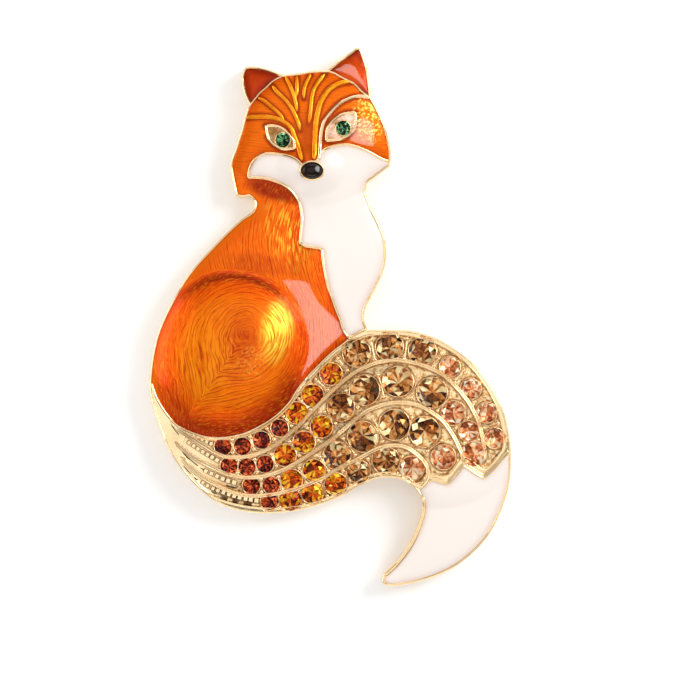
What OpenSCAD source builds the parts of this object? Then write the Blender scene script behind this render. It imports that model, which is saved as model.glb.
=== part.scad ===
// Fox brooch: a gold-plated casting with enamel cells and stone-set tail rows.
// It lies face up: X runs across, Y from the tail tip to the ears, Z out of the face.

/* [Size] */
// Width of the brooch across back and tail
brooch_w = 36.9; // [35:0.5:48]
// Height of the brooch from tail tip to ear
brooch_h = 55; // [52:0.5:72]
// Height of the casting at its outer edge
edge_h = 2.9; // [2.7:0.1:4.5]

/* [Relief] */
// Rise of the back and neck above the edge
back_rise = 1.2; // [0.4:0.1:2]
// Further rise of the thigh dome
thigh_rise = 1.7; // [0.4:0.1:2.5]
// Rise of the head above the edge
head_rise = 1.3; // [0.4:0.1:2]
// Further rise of the muzzle
muzzle_rise = 0.7; // [0:0.1:1.5]
// Rise of the white chest above the edge
chest_rise = 0.8; // [0.2:0.1:1.5]
// Rise of the stone-set tail above the edge
tail_rise = 1.3; // [0.4:0.1:2]

/* [Casting] */
// Width of the gold rim round the enamel
rim_w = 0.24; // [0.2:0.01:0.5]
// Width of the gold wall between two cells
wall_w = 0.36; // [0.3:0.01:0.6]
// Height of rims and walls above the relief
rim_proud = 0.06; // [0.02:0.01:0.2]
// Thickness of the cast shell, enamel included
shell_t = 1.8; // [1.6:0.05:2]
// Greatest depth of the hollow in the back
hollow_h = 3.4; // [2.4:0.1:3.8]
// Thickness of the outer wall round the hollow
skirt_w = 1.3; // [1:0.05:2]
// Depth of the four stone channels along the tail
channel_t = 0.35; // [0.2:0.05:0.5]
// Width of the gold ridges between the channels
ridge_w = 0.4; // [0.3:0.01:0.5]

/* [Enamel] */
// Depth of the enamel cells
enamel_t = 0.5; // [0.35:0.05:0.7]
// Swelling of the enamel in the middle of a cell
enamel_crown = 0.16; // [0:0.02:0.3]
// Gap left between each set piece and the casting
fit_gap = 0.05; // [0.03:0.01:0.08]
// Width of the forehead wires
wire_w = 0.24; // [0.2:0.01:0.3]

/* [Stones] */
// Diameter of the dark red stones
red_d = 1.55; // [1.3:0.05:1.65]
// Diameter of the orange stones
orange_d = 1.95; // [1.6:0.05:2.05]
// Diameter of the champagne stones
champagne_d = 2.6; // [2.2:0.05:2.7]
// Diameter of the large champagne stones in the middle rows
large_d = 2.75; // [2.3:0.05:2.85]
// Diameter of the small peach stones along the edge
peach_d = 1.9; // [1.6:0.05:2]
// Diameter of the larger peach stones
blush_d = 2.2; // [1.8:0.05:2.3]
// Diameter of the green eye stones
eye_d = 1.2; // [0.9:0.05:1.3]
// Width of the gold cup round a stone
cup_w = 0.18; // [0.12:0.01:0.2]
// Height of a cup above its channel floor
cup_h = 0.3; // [0.2:0.05:0.4]

/* [Pin] */
// Length of the pin between its two blocks
pin_len = 29; // [26:0.5:30]
// Thickness of the pin wire
pin_d = 0.8; // [0.7:0.05:0.9]
// Height of the pin wire above the table
pin_lift = 0.15; // [0.1:0.05:0.3]
// Width of the two blocks that hold the pin
block_w = 3; // [2.4:0.1:3.4]
// Length of each block along the pin
block_l = 2.2; // [1.6:0.1:2.6]
// Height of the flat pads that the blocks sit on, above the table
pad_z = 1.7; // [1.5:0.05:1.9]
// Width of the pads round the blocks
pad_w = 4; // [3.6:0.1:4.4]

/* [Hidden] */
// The drawing grid: x to the right, y down, GRID_W by GRID_H for the whole brooch
GRID_W = 362;
GRID_H = 538.5;
GRID_MID = [330.5, 316.75];
// Columns and rows of the relief and of the hollow behind it, and steps and columns of each cell
FIELD_GRID = [24, 36];
HOLLOW_GRID = [16, 24];
HEAD_GRID = [1, 5];
EAR_GRID = [1, 2];
BODY_GRID = [2, 5];
BIB_GRID = [1, 5];
OUTLINE_STEPS = 2;
// How far cutting shapes reach past what they cut, and how deep joined shapes reach in
PAST = 3;
ROOT = 0.2;

// Outline of the casting, as smooth curves that meet at corners
LEFT_EAR = [[249, 105], [244, 94], [241, 79], [243.5, 69.5], [250, 66], [266, 68.5], [283, 75]];
CROWN = [[283, 75], [300, 73], [313, 71], [327, 70.5]];
RIGHT_EAR = [[327, 70.5], [338, 61], [350, 52.5], [357, 47.5], [362, 51], [367.5, 68], [370, 84], [371, 97]];
RIGHT_FACE = [[371, 97], [380, 114], [387, 132], [391, 152], [390, 166]];
RIGHT_CHEEK = [[390, 166], [380, 173.5], [368, 183], [366, 194]];
BREAST = [[366, 194], [372, 209], [382, 230], [386.5, 250], [384, 270], [375, 290], [366, 308],
    [364.5, 320], [368, 330]];
TAIL_BACK = [[368, 330], [388, 330], [412, 331], [437, 338.5], [457, 350.5], [475, 365], [491, 386],
    [503, 409], [509.5, 433], [511.5, 460], [509.5, 485], [503, 507], [494, 527], [480, 546],
    [460, 563.5], [440, 574.5], [420, 581.5], [400, 585.5], [388, 586], [382, 582]];
UNDERSIDE = [[382, 582], [384, 574], [396, 562], [408, 546], [417, 528], [422, 510], [420, 496],
    [412, 486], [398, 478.5], [380, 478], [362, 484.5], [340, 497], [310, 508], [280, 512.8],
    [250, 512.5], [220, 504], [190, 480], [165, 443], [151, 400], [149.5, 375], [156, 338],
    [170, 305], [190, 272], [220, 239], [240, 220], [251.5, 212], [254.5, 203], [249, 196.5]];
JAW = [[249, 196.5], [242, 197.5], [235.5, 196]];
LEFT_FACE = [[235.5, 196], [231, 174], [230, 163], [234.5, 150], [241, 130], [245.5, 113], [249, 105]];

// Enamel cells as pairs of facing points, one row for each section: x, y on one side, x, y on the other
HEAD_CELL = [
    [249.5, 193, 237, 193], [248, 184, 233, 183], [248.5, 174, 230, 170], [252, 163.5, 231, 158],
    [258, 157, 236, 145], [265, 154, 241.5, 128], [273, 153.5, 247, 113], [282, 155, 256, 98],
    [291, 158, 271, 83], [300, 162.5, 290, 75], [312, 161, 312, 71.5], [321, 153.5, 330, 72],
    [331, 147.5, 345, 79.5], [345, 145, 358, 88], [358, 147.5, 371, 98], [370, 152.5, 381, 116],
    [380, 157.5, 388, 137], [385.5, 160, 390.5, 150]];
LEFT_EAR_CELL = [
    [251.5, 103, 244.5, 97], [254.5, 99, 242, 90], [258, 95, 241, 80], [263, 90, 245, 69],
    [269, 85, 257, 66.5], [274, 81, 267, 68.7], [279, 78, 275, 71.5]];
RIGHT_EAR_CELL = [
    [333, 73.3, 333, 65], [338, 75.5, 339, 60.7], [345, 79.5, 346, 55.5], [352, 84, 356.5, 47.8],
    [358, 88, 364, 57], [362, 91.5, 367, 70], [365.5, 94, 369.3, 82]];
BODY_CELL = [
    [251, 195.5, 249, 180], [254.8, 204, 276, 181.5], [252, 211, 294, 194], [241, 219, 301, 212],
    [228, 231, 301.5, 222], [215, 244, 301, 232], [202, 259, 300.5, 243], [189, 274, 320, 249],
    [179, 289, 323.5, 262], [170, 305, 329, 289], [163, 320, 337, 312], [157.5, 334, 346, 336],
    [154, 346, 327, 357], [151.5, 357, 303, 382], [150.3, 366, 276, 415.5], [149.7, 374, 240, 433.5],
    [150.5, 384, 212, 435], [153.5, 394, 190, 430.5], [160, 406, 172, 421]];
BIB_CELL = [
    [252, 178, 249.5, 171], [262, 178.3, 256, 158.5], [275, 181.5, 268, 153.6], [286, 187, 284, 155.3],
    [294, 195, 298, 161.5], [297.5, 200, 318, 157], [299.5, 204, 334, 146.5], [301, 208, 358, 147.5],
    [301.7, 212, 386, 159.5], [302, 217, 380, 173.5], [301.5, 227, 367.5, 187], [300.5, 240, 367.5, 200],
    [320, 249, 377, 218], [323.3, 262, 385, 238], [327.5, 282, 386, 259], [333.5, 303, 380, 280],
    [340, 320, 369, 302], [345, 333, 364.5, 318], [351, 337, 366, 329]];
// White tail tip: the jagged fur edge, then sections down to the point
TIP_EDGE = [[424, 486], [432, 480], [447, 483.5], [455.5, 474], [464, 466], [473, 471], [484, 478],
    [496, 466.5], [509, 453]];
TIP_CELL = [
    [421.5, 504, 510.5, 480], [422, 512, 508, 491], [417.5, 527, 501, 512], [410, 543, 489, 534.5],
    [401, 556, 471, 554.5], [391, 567, 447, 571], [385, 574.5, 422, 581], [382.5, 580, 401, 585.4]];
// Five lines along the tail, one row for each section: lower edge, three ridges, upper edge
TAIL_LINES = [
    [[190, 480], [186, 466], [181, 451], [173, 428], [168, 418]],
    [[205, 494], [203, 480], [202, 466], [205, 450], [207, 439]],
    [[235, 505], [233, 492], [233, 475], [232, 457], [232, 438.5]],
    [[265, 508.5], [263, 495], [262, 476], [258, 453.5], [254, 430]],
    [[292, 508], [289, 490.5], [285, 468.5], [280, 441], [274, 418]],
    [[317, 502], [312, 482], [306, 456.5], [299, 425.5], [290, 402.5]],
    [[340, 493], [334, 471], [327, 442.5], [320, 403], [309, 377]],
    [[360, 481.5], [356, 459.5], [350, 424], [343, 381.5], [332, 354.5]],
    [[377, 475], [375, 449], [373, 408], [368, 366], [359, 336]],
    [[390, 474], [390, 445.3], [393, 402.7], [395, 360], [397, 333]],
    [[402, 476.5], [404, 446.3], [413, 403.5], [420, 364.5], [428, 338]],
    [[411, 480.5], [415, 452.5], [430, 411], [442, 374.5], [455, 353]],
    [[415, 482.5], [423, 460], [443, 421], [460, 391.5], [479, 374]],
    [[418, 483.5], [427.5, 470], [455, 438], [476, 416], [498, 401]],
    [[420, 484], [427, 479], [463, 461], [484.5, 453], [508, 440]]];
// Middle of the pin
PIN_MID = [296, 312];
// Raised wires of the forehead
WIRES = [
    [[251, 117], [277, 119], [290, 126], [296, 139], [299, 153]],
    [[262, 100], [276, 111], [283, 118.5]],
    [[275, 89], [287, 102], [296, 117], [299.5, 128]],
    [[286.5, 80], [294, 96], [297, 111]],
    [[311, 76], [304.5, 91], [304, 98]],
    [[324, 76], [314, 90], [310, 108], [309, 123]],
    [[341, 87], [333, 89], [325, 95], [319, 110], [316, 130], [316, 152]],
    [[366, 98.5], [348, 99.5], [335, 108], [324, 120], [319, 135], [318, 150]]];
// Eyes: centre x, y, half length, half width, turn; fullness is the share left at the corners
EYE_FULLNESS = 0.55;
EYE_SIDES = 16;
EYES = [[280.5, 138, 17, 9.5, -36], [340.5, 127, 18, 10.5, 41]];
// Nose: centre x, y, half width, half height, width of its gold ring
NOSE = [312, 171, 10.6, 7.9, 2.4];
NOSE_SIDES = 20;
NOSE_LAYERS = 3;
NOSE_TAPER = 0.16;
// Sides of the pin wire, and of the forehead wires
PIN_SIDES = 24;
WIRE_SIDES = 4;
// Domes of the relief: centre x, y, half width, half height, turn, rise, sharpness of the foot
RELIEF = [
    [248, 320, 96, 138, 12, back_rise, 1.2],
    [232, 352, 79, 83, 0, thigh_rise, 0.8],
    [311, 128, 88, 78, 0, head_rise, 1],
    [311, 170, 36, 27, 0, muzzle_rise, 1.5],
    [343, 262, 54, 108, 0, chest_rise, 1.2],
    [262, 468, 118, 50, 4, tail_rise * 0.8, 1.2],
    [360, 435, 92, 72, -35, tail_rise * 0.45, 1.5],
    [430, 415, 100, 92, 30, tail_rise, 1],
    [458, 512, 56, 92, 28, tail_rise * 0.5, 1.2]];
// Kinds of stone: diameter and colour
RED = [red_d, "darkred"];
ORANGE = [orange_d, "orange"];
CHAMPAGNE = [champagne_d, "tan"];
LARGE = [large_d, "tan"];
PEACH = [peach_d, "lightsalmon"];
BLUSH = [blush_d, "lightsalmon"];
GREEN = [eye_d, "green"];
// Stones of the four rows from the root of the tail: x, y, kind
ROWS = [
    [[223, 446.5, RED], [242.5, 446, RED], [261.5, 440, RED], [279.5, 428, RED], [297, 413, ORANGE],
    [312.5, 395.5, ORANGE], [331, 374, ORANGE], [356.5, 353, CHAMPAGNE], [389.5, 346.5, CHAMPAGNE],
    [422.5, 351, CHAMPAGNE], [450, 366.5, PEACH], [471, 388.5, PEACH], [487, 412.5, PEACH],
    [495, 438, PEACH]],
    [[229, 466, RED], [247, 467, RED], [265, 463.8, RED], [285, 455, ORANGE], [304, 442, ORANGE],
    [321.5, 426.5, ORANGE], [341, 407, CHAMPAGNE], [364.5, 390, LARGE], [398, 381.5, LARGE],
    [432, 392.5, LARGE], [453.5, 413, BLUSH], [469, 431, PEACH], [474, 453.5, BLUSH]],
    [[251.4, 485.5, RED], [271.2, 485, RED], [291.5, 480, ORANGE], [314, 470, ORANGE],
    [337, 455.5, CHAMPAGNE], [363, 436.5, LARGE], [394.5, 424.5, LARGE], [424.5, 431.5, LARGE],
    [443.5, 457, BLUSH]],
    [[269.5, 501.5, RED], [290.5, 500, ORANGE], [312.5, 493, ORANGE], [335.5, 483.5, ORANGE],
    [358.5, 471.5, BLUSH], [386, 460.5, CHAMPAGNE], [412, 468, BLUSH]]];
// Cut of the stones, as shares of their diameter
TABLE_SHARE = 0.56;
CROWN_SHARE = 0.18;
GIRDLE_SHARE = 0.06;
PAVILION_SHARE = 0.3;
FACETS = 8;

function stone_name(r, k) = str("row", r + 1, "_stone_", k < 9 ? "0" : "", k + 1);
STONE_NAMES = [for (r = [0 : len(ROWS) - 1], k = [0 : len(ROWS[r]) - 1]) stone_name(r, k)];
EYE_NAMES = ["eye_stone_left", "eye_stone_right"];

unit_x = brooch_w / GRID_W;
unit_y = brooch_h / GRID_H;
top_h = edge_h + back_rise + thigh_rise + PAST;
stem_z = pin_d / 2 + pin_lift;
seat_room = 3 * fit_gap;

// From the drawing grid to millimetres, and back
function at(p) = [(p.x - GRID_MID.x) * unit_x, (GRID_MID.y - p.y) * unit_y];
function drawn(q) = [q.x / unit_x + GRID_MID.x, GRID_MID.y - q.y / unit_y];

// A smooth curve through the points, without its last one
function bend(a, b, c, d, t) = 0.5 * (2 * b + (c - a) * t + (2 * a - 5 * b + 4 * c - d) * t * t
    + (3 * b - a - 3 * c + d) * t * t * t);
function curve(points, steps) = [for (i = [0 : len(points) - 2], k = [0 : steps - 1])
    bend(points[max(i - 1, 0)], points[i], points[i + 1], points[min(i + 2, len(points) - 1)], k / steps)];
function whole_curve(points, steps) = concat(curve(points, steps), [points[len(points) - 1]]);

OUTLINE = [for (side = [LEFT_EAR, CROWN, RIGHT_EAR, RIGHT_FACE, RIGHT_CHEEK, BREAST, TAIL_BACK,
    UNDERSIDE, JAW, LEFT_FACE]) each [for (p = curve(side, OUTLINE_STEPS)) at(p)]];

// Height of the relief above the table
function dome(p, d) =
    let (x = p.x - d[0], y = p.y - d[1], c = cos(d[4]), s = sin(d[4]))
    let (r = pow((x * c + y * s) / d[2], 2) + pow((y * c - x * s) / d[3], 2))
    r < 1 ? d[5] * pow(1 - r, d[6]) : 0;
function sum(list, i = 0) = i < len(list) ? list[i] + sum(list, i + 1) : 0;
function relief(q) = let (p = drawn(q)) edge_h + sum([for (d = RELIEF) dome(p, d)]);
function slope(q) = [relief(q + [ROOT, 0]) - relief(q - [ROOT, 0]),
    relief(q + [0, ROOT]) - relief(q - [0, ROOT])] / (2 * ROOT);

// Points across a section, drawn in by a margin at each end
function section(a, b, cols, margins) = let (d = norm(b - a))
    [for (k = [0 : cols]) a + (b - a) * (margins[0] + (d - margins[0] - margins[1]) * k / cols) / d];
function cell_rows(cell, grid, margins) = [for (r = whole_curve(cell, grid[0]))
    section(at([r[0], r[1]]), at([r[2], r[3]]), grid[1], margins)];

// Moves the first and the last section in by a gap, or out where it is below zero
function moved(row, next, gap) = let (last = len(row) - 1, d = row[last] - row[0])
    let (side = [-d.y, d.x] / norm(d), inward = sign(side * (next[0] - row[0] + next[last] - row[last])))
    [for (p = row) p + side * inward * gap];
function shortened(rows, gap) = let (last = len(rows) - 1) [for (i = [0 : last])
    i == 0 ? moved(rows[0], rows[1], gap)
        : i == last ? moved(rows[last], rows[last - 1], gap) : rows[i]];

// A closed solid between a lower and an upper grid of points
module slab(low, high) {
    rows = len(low);
    cols = len(low[0]);
    count = rows * cols;
    points = [for (g = [low, high], r = g, p = r) p];
    caps = [for (i = [0 : rows - 2], j = [0 : cols - 2])
        let (a = i * cols + j, b = a + 1, c = a + cols + 1, d = a + cols)
        each [[a, b, c], [a, c, d], [count + a, count + c, count + b], [count + a, count + d, count + c]]];
    rim = concat([for (j = [0 : cols - 2]) j], [for (i = [0 : rows - 2]) i * cols + cols - 1],
        [for (j = [cols - 1 : -1 : 1]) (rows - 1) * cols + j], [for (i = [rows - 1 : -1 : 1]) i * cols]);
    walls = [for (k = [0 : len(rim) - 1]) let (a = rim[k], b = rim[(k + 1) % len(rim)])
        each [[a, count + b, b], [a, count + a, count + b]]];
    faces = concat(caps, walls);
    turned = [for (f = faces) [f[0], f[2], f[1]]];
    turns = [for (i = [0 : rows - 2])
        cross(low[i][cols - 1] - low[i][0], low[i + 1][0] - low[i][0]).z];
    polyhedron(points, sum(turns) > 0 ? faces : turned);
}

// Lifts a grid of plan points to the relief
function lift(rows, rise, crown = 0) = [for (r = rows) let (n = len(r) - 1) [for (k = [0 : n])
    [r[k].x, r[k].y, relief(r[k]) + rise + crown * 4 * k * (n - k) / (n * n)]]];

module enamel(rows) {
    slab(lift(rows, 2 * fit_gap - enamel_t), lift(rows, 0, enamel_crown));
}

module enamel_room(rows) {
    slab(lift(rows, -enamel_t), lift(rows, PAST));
}

// Rows of the enamel cells; a gap leaves that much room all round
function fitted(table, grid, near, far, gap) =
    shortened(cell_rows(table, grid, [near + gap, far + gap]), gap);
function head_rows(gap = 0) = fitted(HEAD_CELL, HEAD_GRID, wall_w / 2, rim_w, gap);
function left_ear_rows(gap = 0) = fitted(LEFT_EAR_CELL, EAR_GRID, wall_w / 2, rim_w, gap);
function right_ear_rows(gap = 0) = fitted(RIGHT_EAR_CELL, EAR_GRID, wall_w / 2, rim_w, gap);
function body_rows(gap = 0) = fitted(BODY_CELL, BODY_GRID, rim_w, wall_w / 2, gap);
function bib_rows(gap = 0) = fitted(BIB_CELL, BIB_GRID, wall_w / 2, rim_w, gap);

// The tail tip starts from its jagged edge, moved down and in from both sides
function tip_rows(gap = 0) = let (cols = len(TIP_EDGE) - 1, inset = rim_w + gap)
    let (first = [for (k = [0 : cols]) at(TIP_EDGE[k]) + [1 - 2 * k / cols, -1] * inset])
    shortened(concat([first], cell_rows(TIP_CELL, [1, cols], [inset, inset])), gap);

// A block under a surface whose height is a function of the place
module field(grid, level) {
    x0 = brooch_w / 2 + ROOT;
    y0 = brooch_h / 2 + ROOT;
    plan = [for (i = [0 : grid[1]]) [for (j = [0 : grid[0]])
        [x0 * (2 * j / grid[0] - 1), y0 * (2 * i / grid[1] - 1)]]];
    low = [for (r = plan) [for (p = r) [p.x, p.y, -PAST]]];
    high = [for (r = plan) [for (p = r) [p.x, p.y, level(p)]]];
    slab(low, high);
}

// Almond outline of an eye, and the oval of the nose
function almond(a, b) = [for (k = [0 : EYE_SIDES - 1]) let (t = 360 * k / EYE_SIDES)
    [a * cos(t), b * sin(t) * (EYE_FULLNESS + (1 - EYE_FULLNESS) * abs(sin(t)))]];

module eye_plan(e, grow) {
    translate(at([e[0], e[1]])) rotate(e[4])
        polygon(almond(e[2] * unit_y + grow, e[3] * unit_y + grow));
}

module nose_plan(grow) {
    polygon([for (k = [0 : NOSE_SIDES - 1]) let (t = 360 * k / NOSE_SIDES)
        [(NOSE[2] * unit_x + grow) * cos(t), (NOSE[3] * unit_y + grow) * sin(t)]]);
}

module nose_block(grow) {
    translate(at([NOSE[0], NOSE[1]])) linear_extrude(height = top_h)
        nose_plan(NOSE[4] * unit_x + grow);
}

module eye_blocks(grow) {
    linear_extrude(height = top_h) for (e = EYES) eye_plan(e, grow);
}

// Puts something on the relief, turned to its slope
module seated(p, rise = 0) {
    q = at(p);
    s = slope(q);
    translate([q.x, q.y, relief(q) + rise]) rotate(a = atan(norm(s)), v = [s.y, -s.x, 0]) children();
}

// A cut stone: culet point, girdle, crown facets and flat table
module cut_stone(d) {
    ring = function(share, z, turn) [for (k = [0 : FACETS - 1]) let (t = (k + turn) * 360 / FACETS)
        [d / 2 * share * cos(t), d / 2 * share * sin(t), d * z]];
    points = concat([[0, 0, -d * PAVILION_SHARE]], ring(1, 0, 0), ring(1, GIRDLE_SHARE, 0),
        ring(TABLE_SHARE, GIRDLE_SHARE + CROWN_SHARE, 0.5));
    n = FACETS;
    sides = [for (k = [0 : n - 1]) let (j = (k + 1) % n) each [
        [0, 1 + j, 1 + k],
        [1 + k, 1 + j, 1 + n + j], [1 + k, 1 + n + j, 1 + n + k],
        [1 + n + k, 1 + n + j, 1 + 2 * n + k], [1 + n + j, 1 + 2 * n + j, 1 + 2 * n + k]]];
    faces = concat(sides, [[for (k = [0 : n - 1]) 1 + 2 * n + k]]);
    polyhedron(points, [for (f = faces) [for (k = [len(f) - 1 : -1 : 0]) f[k]]]);
}

module seat(d) {
    wide = d + seat_room;
    hull() {
        translate([0, 0, -fit_gap]) cylinder(h = PAST, d = wide, $fn = FACETS);
        translate([0, 0, -d * PAVILION_SHARE - 2 * fit_gap]) cylinder(h = PAST, d = ROOT, $fn = WIRE_SIDES);
    }
}

module cup(d) {
    translate([0, 0, -channel_t * 2])
        cylinder(h = channel_t + cup_h, d = d + 2 * cup_w + seat_room, $fn = FACETS);
}

// The sunk field of the tail, and one of the three ridges along it
function tail_rows(inset) = [for (row = TAIL_LINES)
    let (line = [for (p = row) at(p)], last = len(line) - 1)
    let (low = line[1] - line[0], high = line[last] - line[last - 1])
    [for (k = [0 : last]) k == 0 ? line[0] + low / norm(low) * inset
        : k == last ? line[last] - high / norm(high) * inset : line[k]]];

module tail_room() {
    rows = tail_rows(wall_w / 2);
    slab(lift(rows, -channel_t), lift(rows, PAST));
}

module ridge(k) {
    rows = [for (row = TAIL_LINES)
        let (p = at(row[k]), across = at(row[k + 1]) - at(row[k - 1]), half = ridge_w / 2 / norm(across))
        [p - across * half, p + across * half]];
    long = shortened(rows, -ROOT);
    slab(lift(long, -channel_t - ROOT), lift(long, rim_proud));
}

module wires(grow, low, high) {
    for (w = WIRES, k = [0 : len(w) - 2]) hull() {
        for (p = [w[k], w[k + 1]]) let (q = at(p))
            translate([q.x, q.y, relief(q) + low])
                cylinder(h = high - low, d = wire_w + 2 * grow, $fn = WIRE_SIDES);
    }
}

module pin_ends() {
    for (y = [-1, 1]) translate(at(PIN_MID) + [0, y * pin_len / 2]) children();
}

// The hollow in the back, which leaves a flat pad for each end of the pin
module hollow() {
    difference() {
        intersection() {
            translate([0, 0, -PAST]) linear_extrude(height = top_h)
                offset(delta = -skirt_w) polygon(OUTLINE);
            field(HOLLOW_GRID, function(p) min(relief(p) - shell_t, hollow_h));
        }
        pin_ends() translate([-pad_w / 2, -pad_w / 2, pad_z]) cube([pad_w, pad_w, top_h]);
    }
}

module plain_casting() {
    difference() {
        intersection() {
            linear_extrude(height = top_h) polygon(OUTLINE);
            field(FIELD_GRID, function(p) relief(p) + rim_proud);
        }
        hollow();
        difference() {
            union() {
                enamel_room(head_rows());
                enamel_room(bib_rows());
            }
            eye_blocks(0);
            nose_block(0);
        }
        enamel_room(left_ear_rows());
        enamel_room(right_ear_rows());
        enamel_room(body_rows());
        enamel_room(tip_rows());
        tail_room();
    }
}

module gold_body() {
    color("gold") difference() {
        union() {
            plain_casting();
            wires(0, -enamel_t - ROOT, rim_proud);
            for (k = [1 : 3]) ridge(k);
            for (row = ROWS, s = row) seated([s[0], s[1]]) cup(s[2][0]);
        }
        for (row = ROWS, s = row) seated([s[0], s[1]]) seat(s[2][0]);
        for (e = EYES) seated([e[0], e[1]]) seat(eye_d);
        seated([NOSE[0], NOSE[1]], -enamel_t) linear_extrude(height = PAST) nose_plan(0);
    }
}

module head_enamel() {
    color("darkorange") difference() {
        enamel(head_rows(fit_gap));
        eye_blocks(fit_gap);
        nose_block(fit_gap);
        wires(fit_gap, -enamel_t - ROOT, PAST);
    }
}

module body_enamel() {
    color("orangered") enamel(body_rows(fit_gap));
}

module ear_left_enamel() {
    color("firebrick") enamel(left_ear_rows(fit_gap));
}

module ear_right_enamel() {
    color("firebrick") enamel(right_ear_rows(fit_gap));
}

module bib_enamel() {
    color("white") difference() {
        enamel(bib_rows(fit_gap));
        nose_block(fit_gap);
    }
}

module tail_tip_enamel() {
    color("white") enamel(tip_rows(fit_gap));
}

// The black nose, rounded in a few layers
module nose_enamel() {
    color("black") seated([NOSE[0], NOSE[1]], fit_gap - enamel_t) hull() {
        for (k = [0 : NOSE_LAYERS]) translate([0, 0, k * enamel_t * 2 / NOSE_LAYERS])
            linear_extrude(height = fit_gap)
                nose_plan(-fit_gap - NOSE_TAPER * enamel_t * k * k);
    }
}

// The plain pin: a wire between two blocks, all one piece
module pin_fitting() {
    color("goldenrod") {
        translate(at(PIN_MID) + [0, -pin_len / 2]) translate([0, 0, stem_z]) rotate([-90, 0, 0])
            cylinder(h = pin_len, d = pin_d, $fn = PIN_SIDES);
        pin_ends() translate([-block_w / 2, -block_l / 2, pin_lift])
            cube([block_w, block_l, pad_z - fit_gap - pin_lift]);
    }
}

module stone(s) {
    color(s[2][1]) seated([s[0], s[1]]) cut_stone(s[2][0]);
}

module eye_stone(e) {
    color(GREEN[1]) seated([e[0], e[1]]) cut_stone(eye_d);
}

gold_body();
pin_fitting();
head_enamel();
body_enamel();
ear_left_enamel();
ear_right_enamel();
bib_enamel();
tail_tip_enamel();
nose_enamel();
for (k = [0, 1]) eye_stone(EYES[k]);
for (r = [0 : len(ROWS) - 1], k = [0 : len(ROWS[r]) - 1])
    stone(ROWS[r][k]);
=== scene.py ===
import math
import random

import bpy
import numpy as np
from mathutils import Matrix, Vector
from mathutils.geometry import delaunay_2d_cdt


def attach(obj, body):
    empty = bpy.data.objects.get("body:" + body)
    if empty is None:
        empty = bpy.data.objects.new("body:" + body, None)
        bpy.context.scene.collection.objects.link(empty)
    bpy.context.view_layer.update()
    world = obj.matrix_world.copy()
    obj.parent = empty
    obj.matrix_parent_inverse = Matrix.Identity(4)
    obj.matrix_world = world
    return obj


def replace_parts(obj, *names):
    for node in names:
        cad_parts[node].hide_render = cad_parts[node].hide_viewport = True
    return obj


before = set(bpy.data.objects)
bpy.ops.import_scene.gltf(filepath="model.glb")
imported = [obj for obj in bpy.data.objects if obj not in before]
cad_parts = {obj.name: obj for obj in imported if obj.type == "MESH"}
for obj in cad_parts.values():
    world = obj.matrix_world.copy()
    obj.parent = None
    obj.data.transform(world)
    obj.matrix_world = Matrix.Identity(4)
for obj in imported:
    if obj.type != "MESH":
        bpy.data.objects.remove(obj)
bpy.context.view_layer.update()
rng = random.Random(7)

MM = 0.001

# The drawing grid of the part: x to the right, y down
UNIT_X = 36.9 * MM / 362
UNIT_Y = 55 * MM / 538.5
# A grid unit in mm, and what it counts for in the widths of beads, bosses and the nose
UNIT_MM = 0.102
BEAD_MM = 0.1
# Middle of the part on the grid, and height of its edge
MID_X, MID_Y = 330.5, 316.75
EDGE_H = 2.9 * MM

# Dome of the thigh: centre x, y, half width, half height
THIGH = (232, 352, 79, 83)
# Relief as in the part: centre x, y, half width, half height, turn, rise in mm, sharpness of the foot
RELIEF = [
    (248, 320, 96, 138, 12, 1.2, 1.2),
    (*THIGH, 0, 1.7, 0.8),
    (311, 128, 88, 78, 0, 1.3, 1.0),
    (311, 170, 36, 27, 0, 0.7, 1.5),
    (343, 262, 54, 108, 0, 0.8, 1.2),
    (262, 468, 118, 50, 4, 1.04, 1.2),
    (360, 435, 92, 72, -35, 0.585, 1.5),
    (430, 415, 100, 92, 30, 1.3, 1.0),
    (458, 512, 56, 92, 28, 0.65, 1.2),
]

# Outline, as smooth curves that meet at corners
OUTLINE_CURVES = [
    [(249, 105), (244, 94), (241, 79), (243.5, 69.5), (250, 66), (266, 68.5), (283, 75)],
    [(283, 75), (300, 73), (313, 71), (327, 70.5)],
    [(327, 70.5), (338, 61), (350, 52.5), (357, 47.5), (362, 51), (367.5, 68), (370, 84), (371, 97)],
    [(371, 97), (380, 114), (387, 132), (391, 152), (390, 166)],
    [(390, 166), (380, 173.5), (368, 183), (366, 194)],
    [(366, 194), (372, 209), (382, 230), (386.5, 250), (384, 270), (375, 290), (366, 308),
     (364.5, 320), (368, 330)],
    [(368, 330), (388, 330), (412, 331), (437, 338.5), (457, 350.5), (475, 365), (491, 386),
     (503, 409), (509.5, 433), (511.5, 460), (509.5, 485), (503, 507), (494, 527), (480, 546),
     (460, 563.5), (440, 574.5), (420, 581.5), (400, 585.5), (388, 586), (382, 582)],
    [(382, 582), (384, 574), (396, 562), (408, 546), (417, 528), (422, 510), (420, 496),
     (412, 486), (398, 478.5), (380, 478), (362, 484.5), (340, 497), (310, 508), (280, 512.8),
     (250, 512.5), (220, 504), (190, 480), (165, 443), (151, 400), (149.5, 375), (156, 338),
     (170, 305), (190, 272), (220, 239), (240, 220), (251.5, 212), (254.5, 203), (249, 196.5)],
    [(249, 196.5), (242, 197.5), (235.5, 196)],
    [(235.5, 196), (231, 174), (230, 163), (234.5, 150), (241, 130), (245.5, 113), (249, 105)],
]

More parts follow.
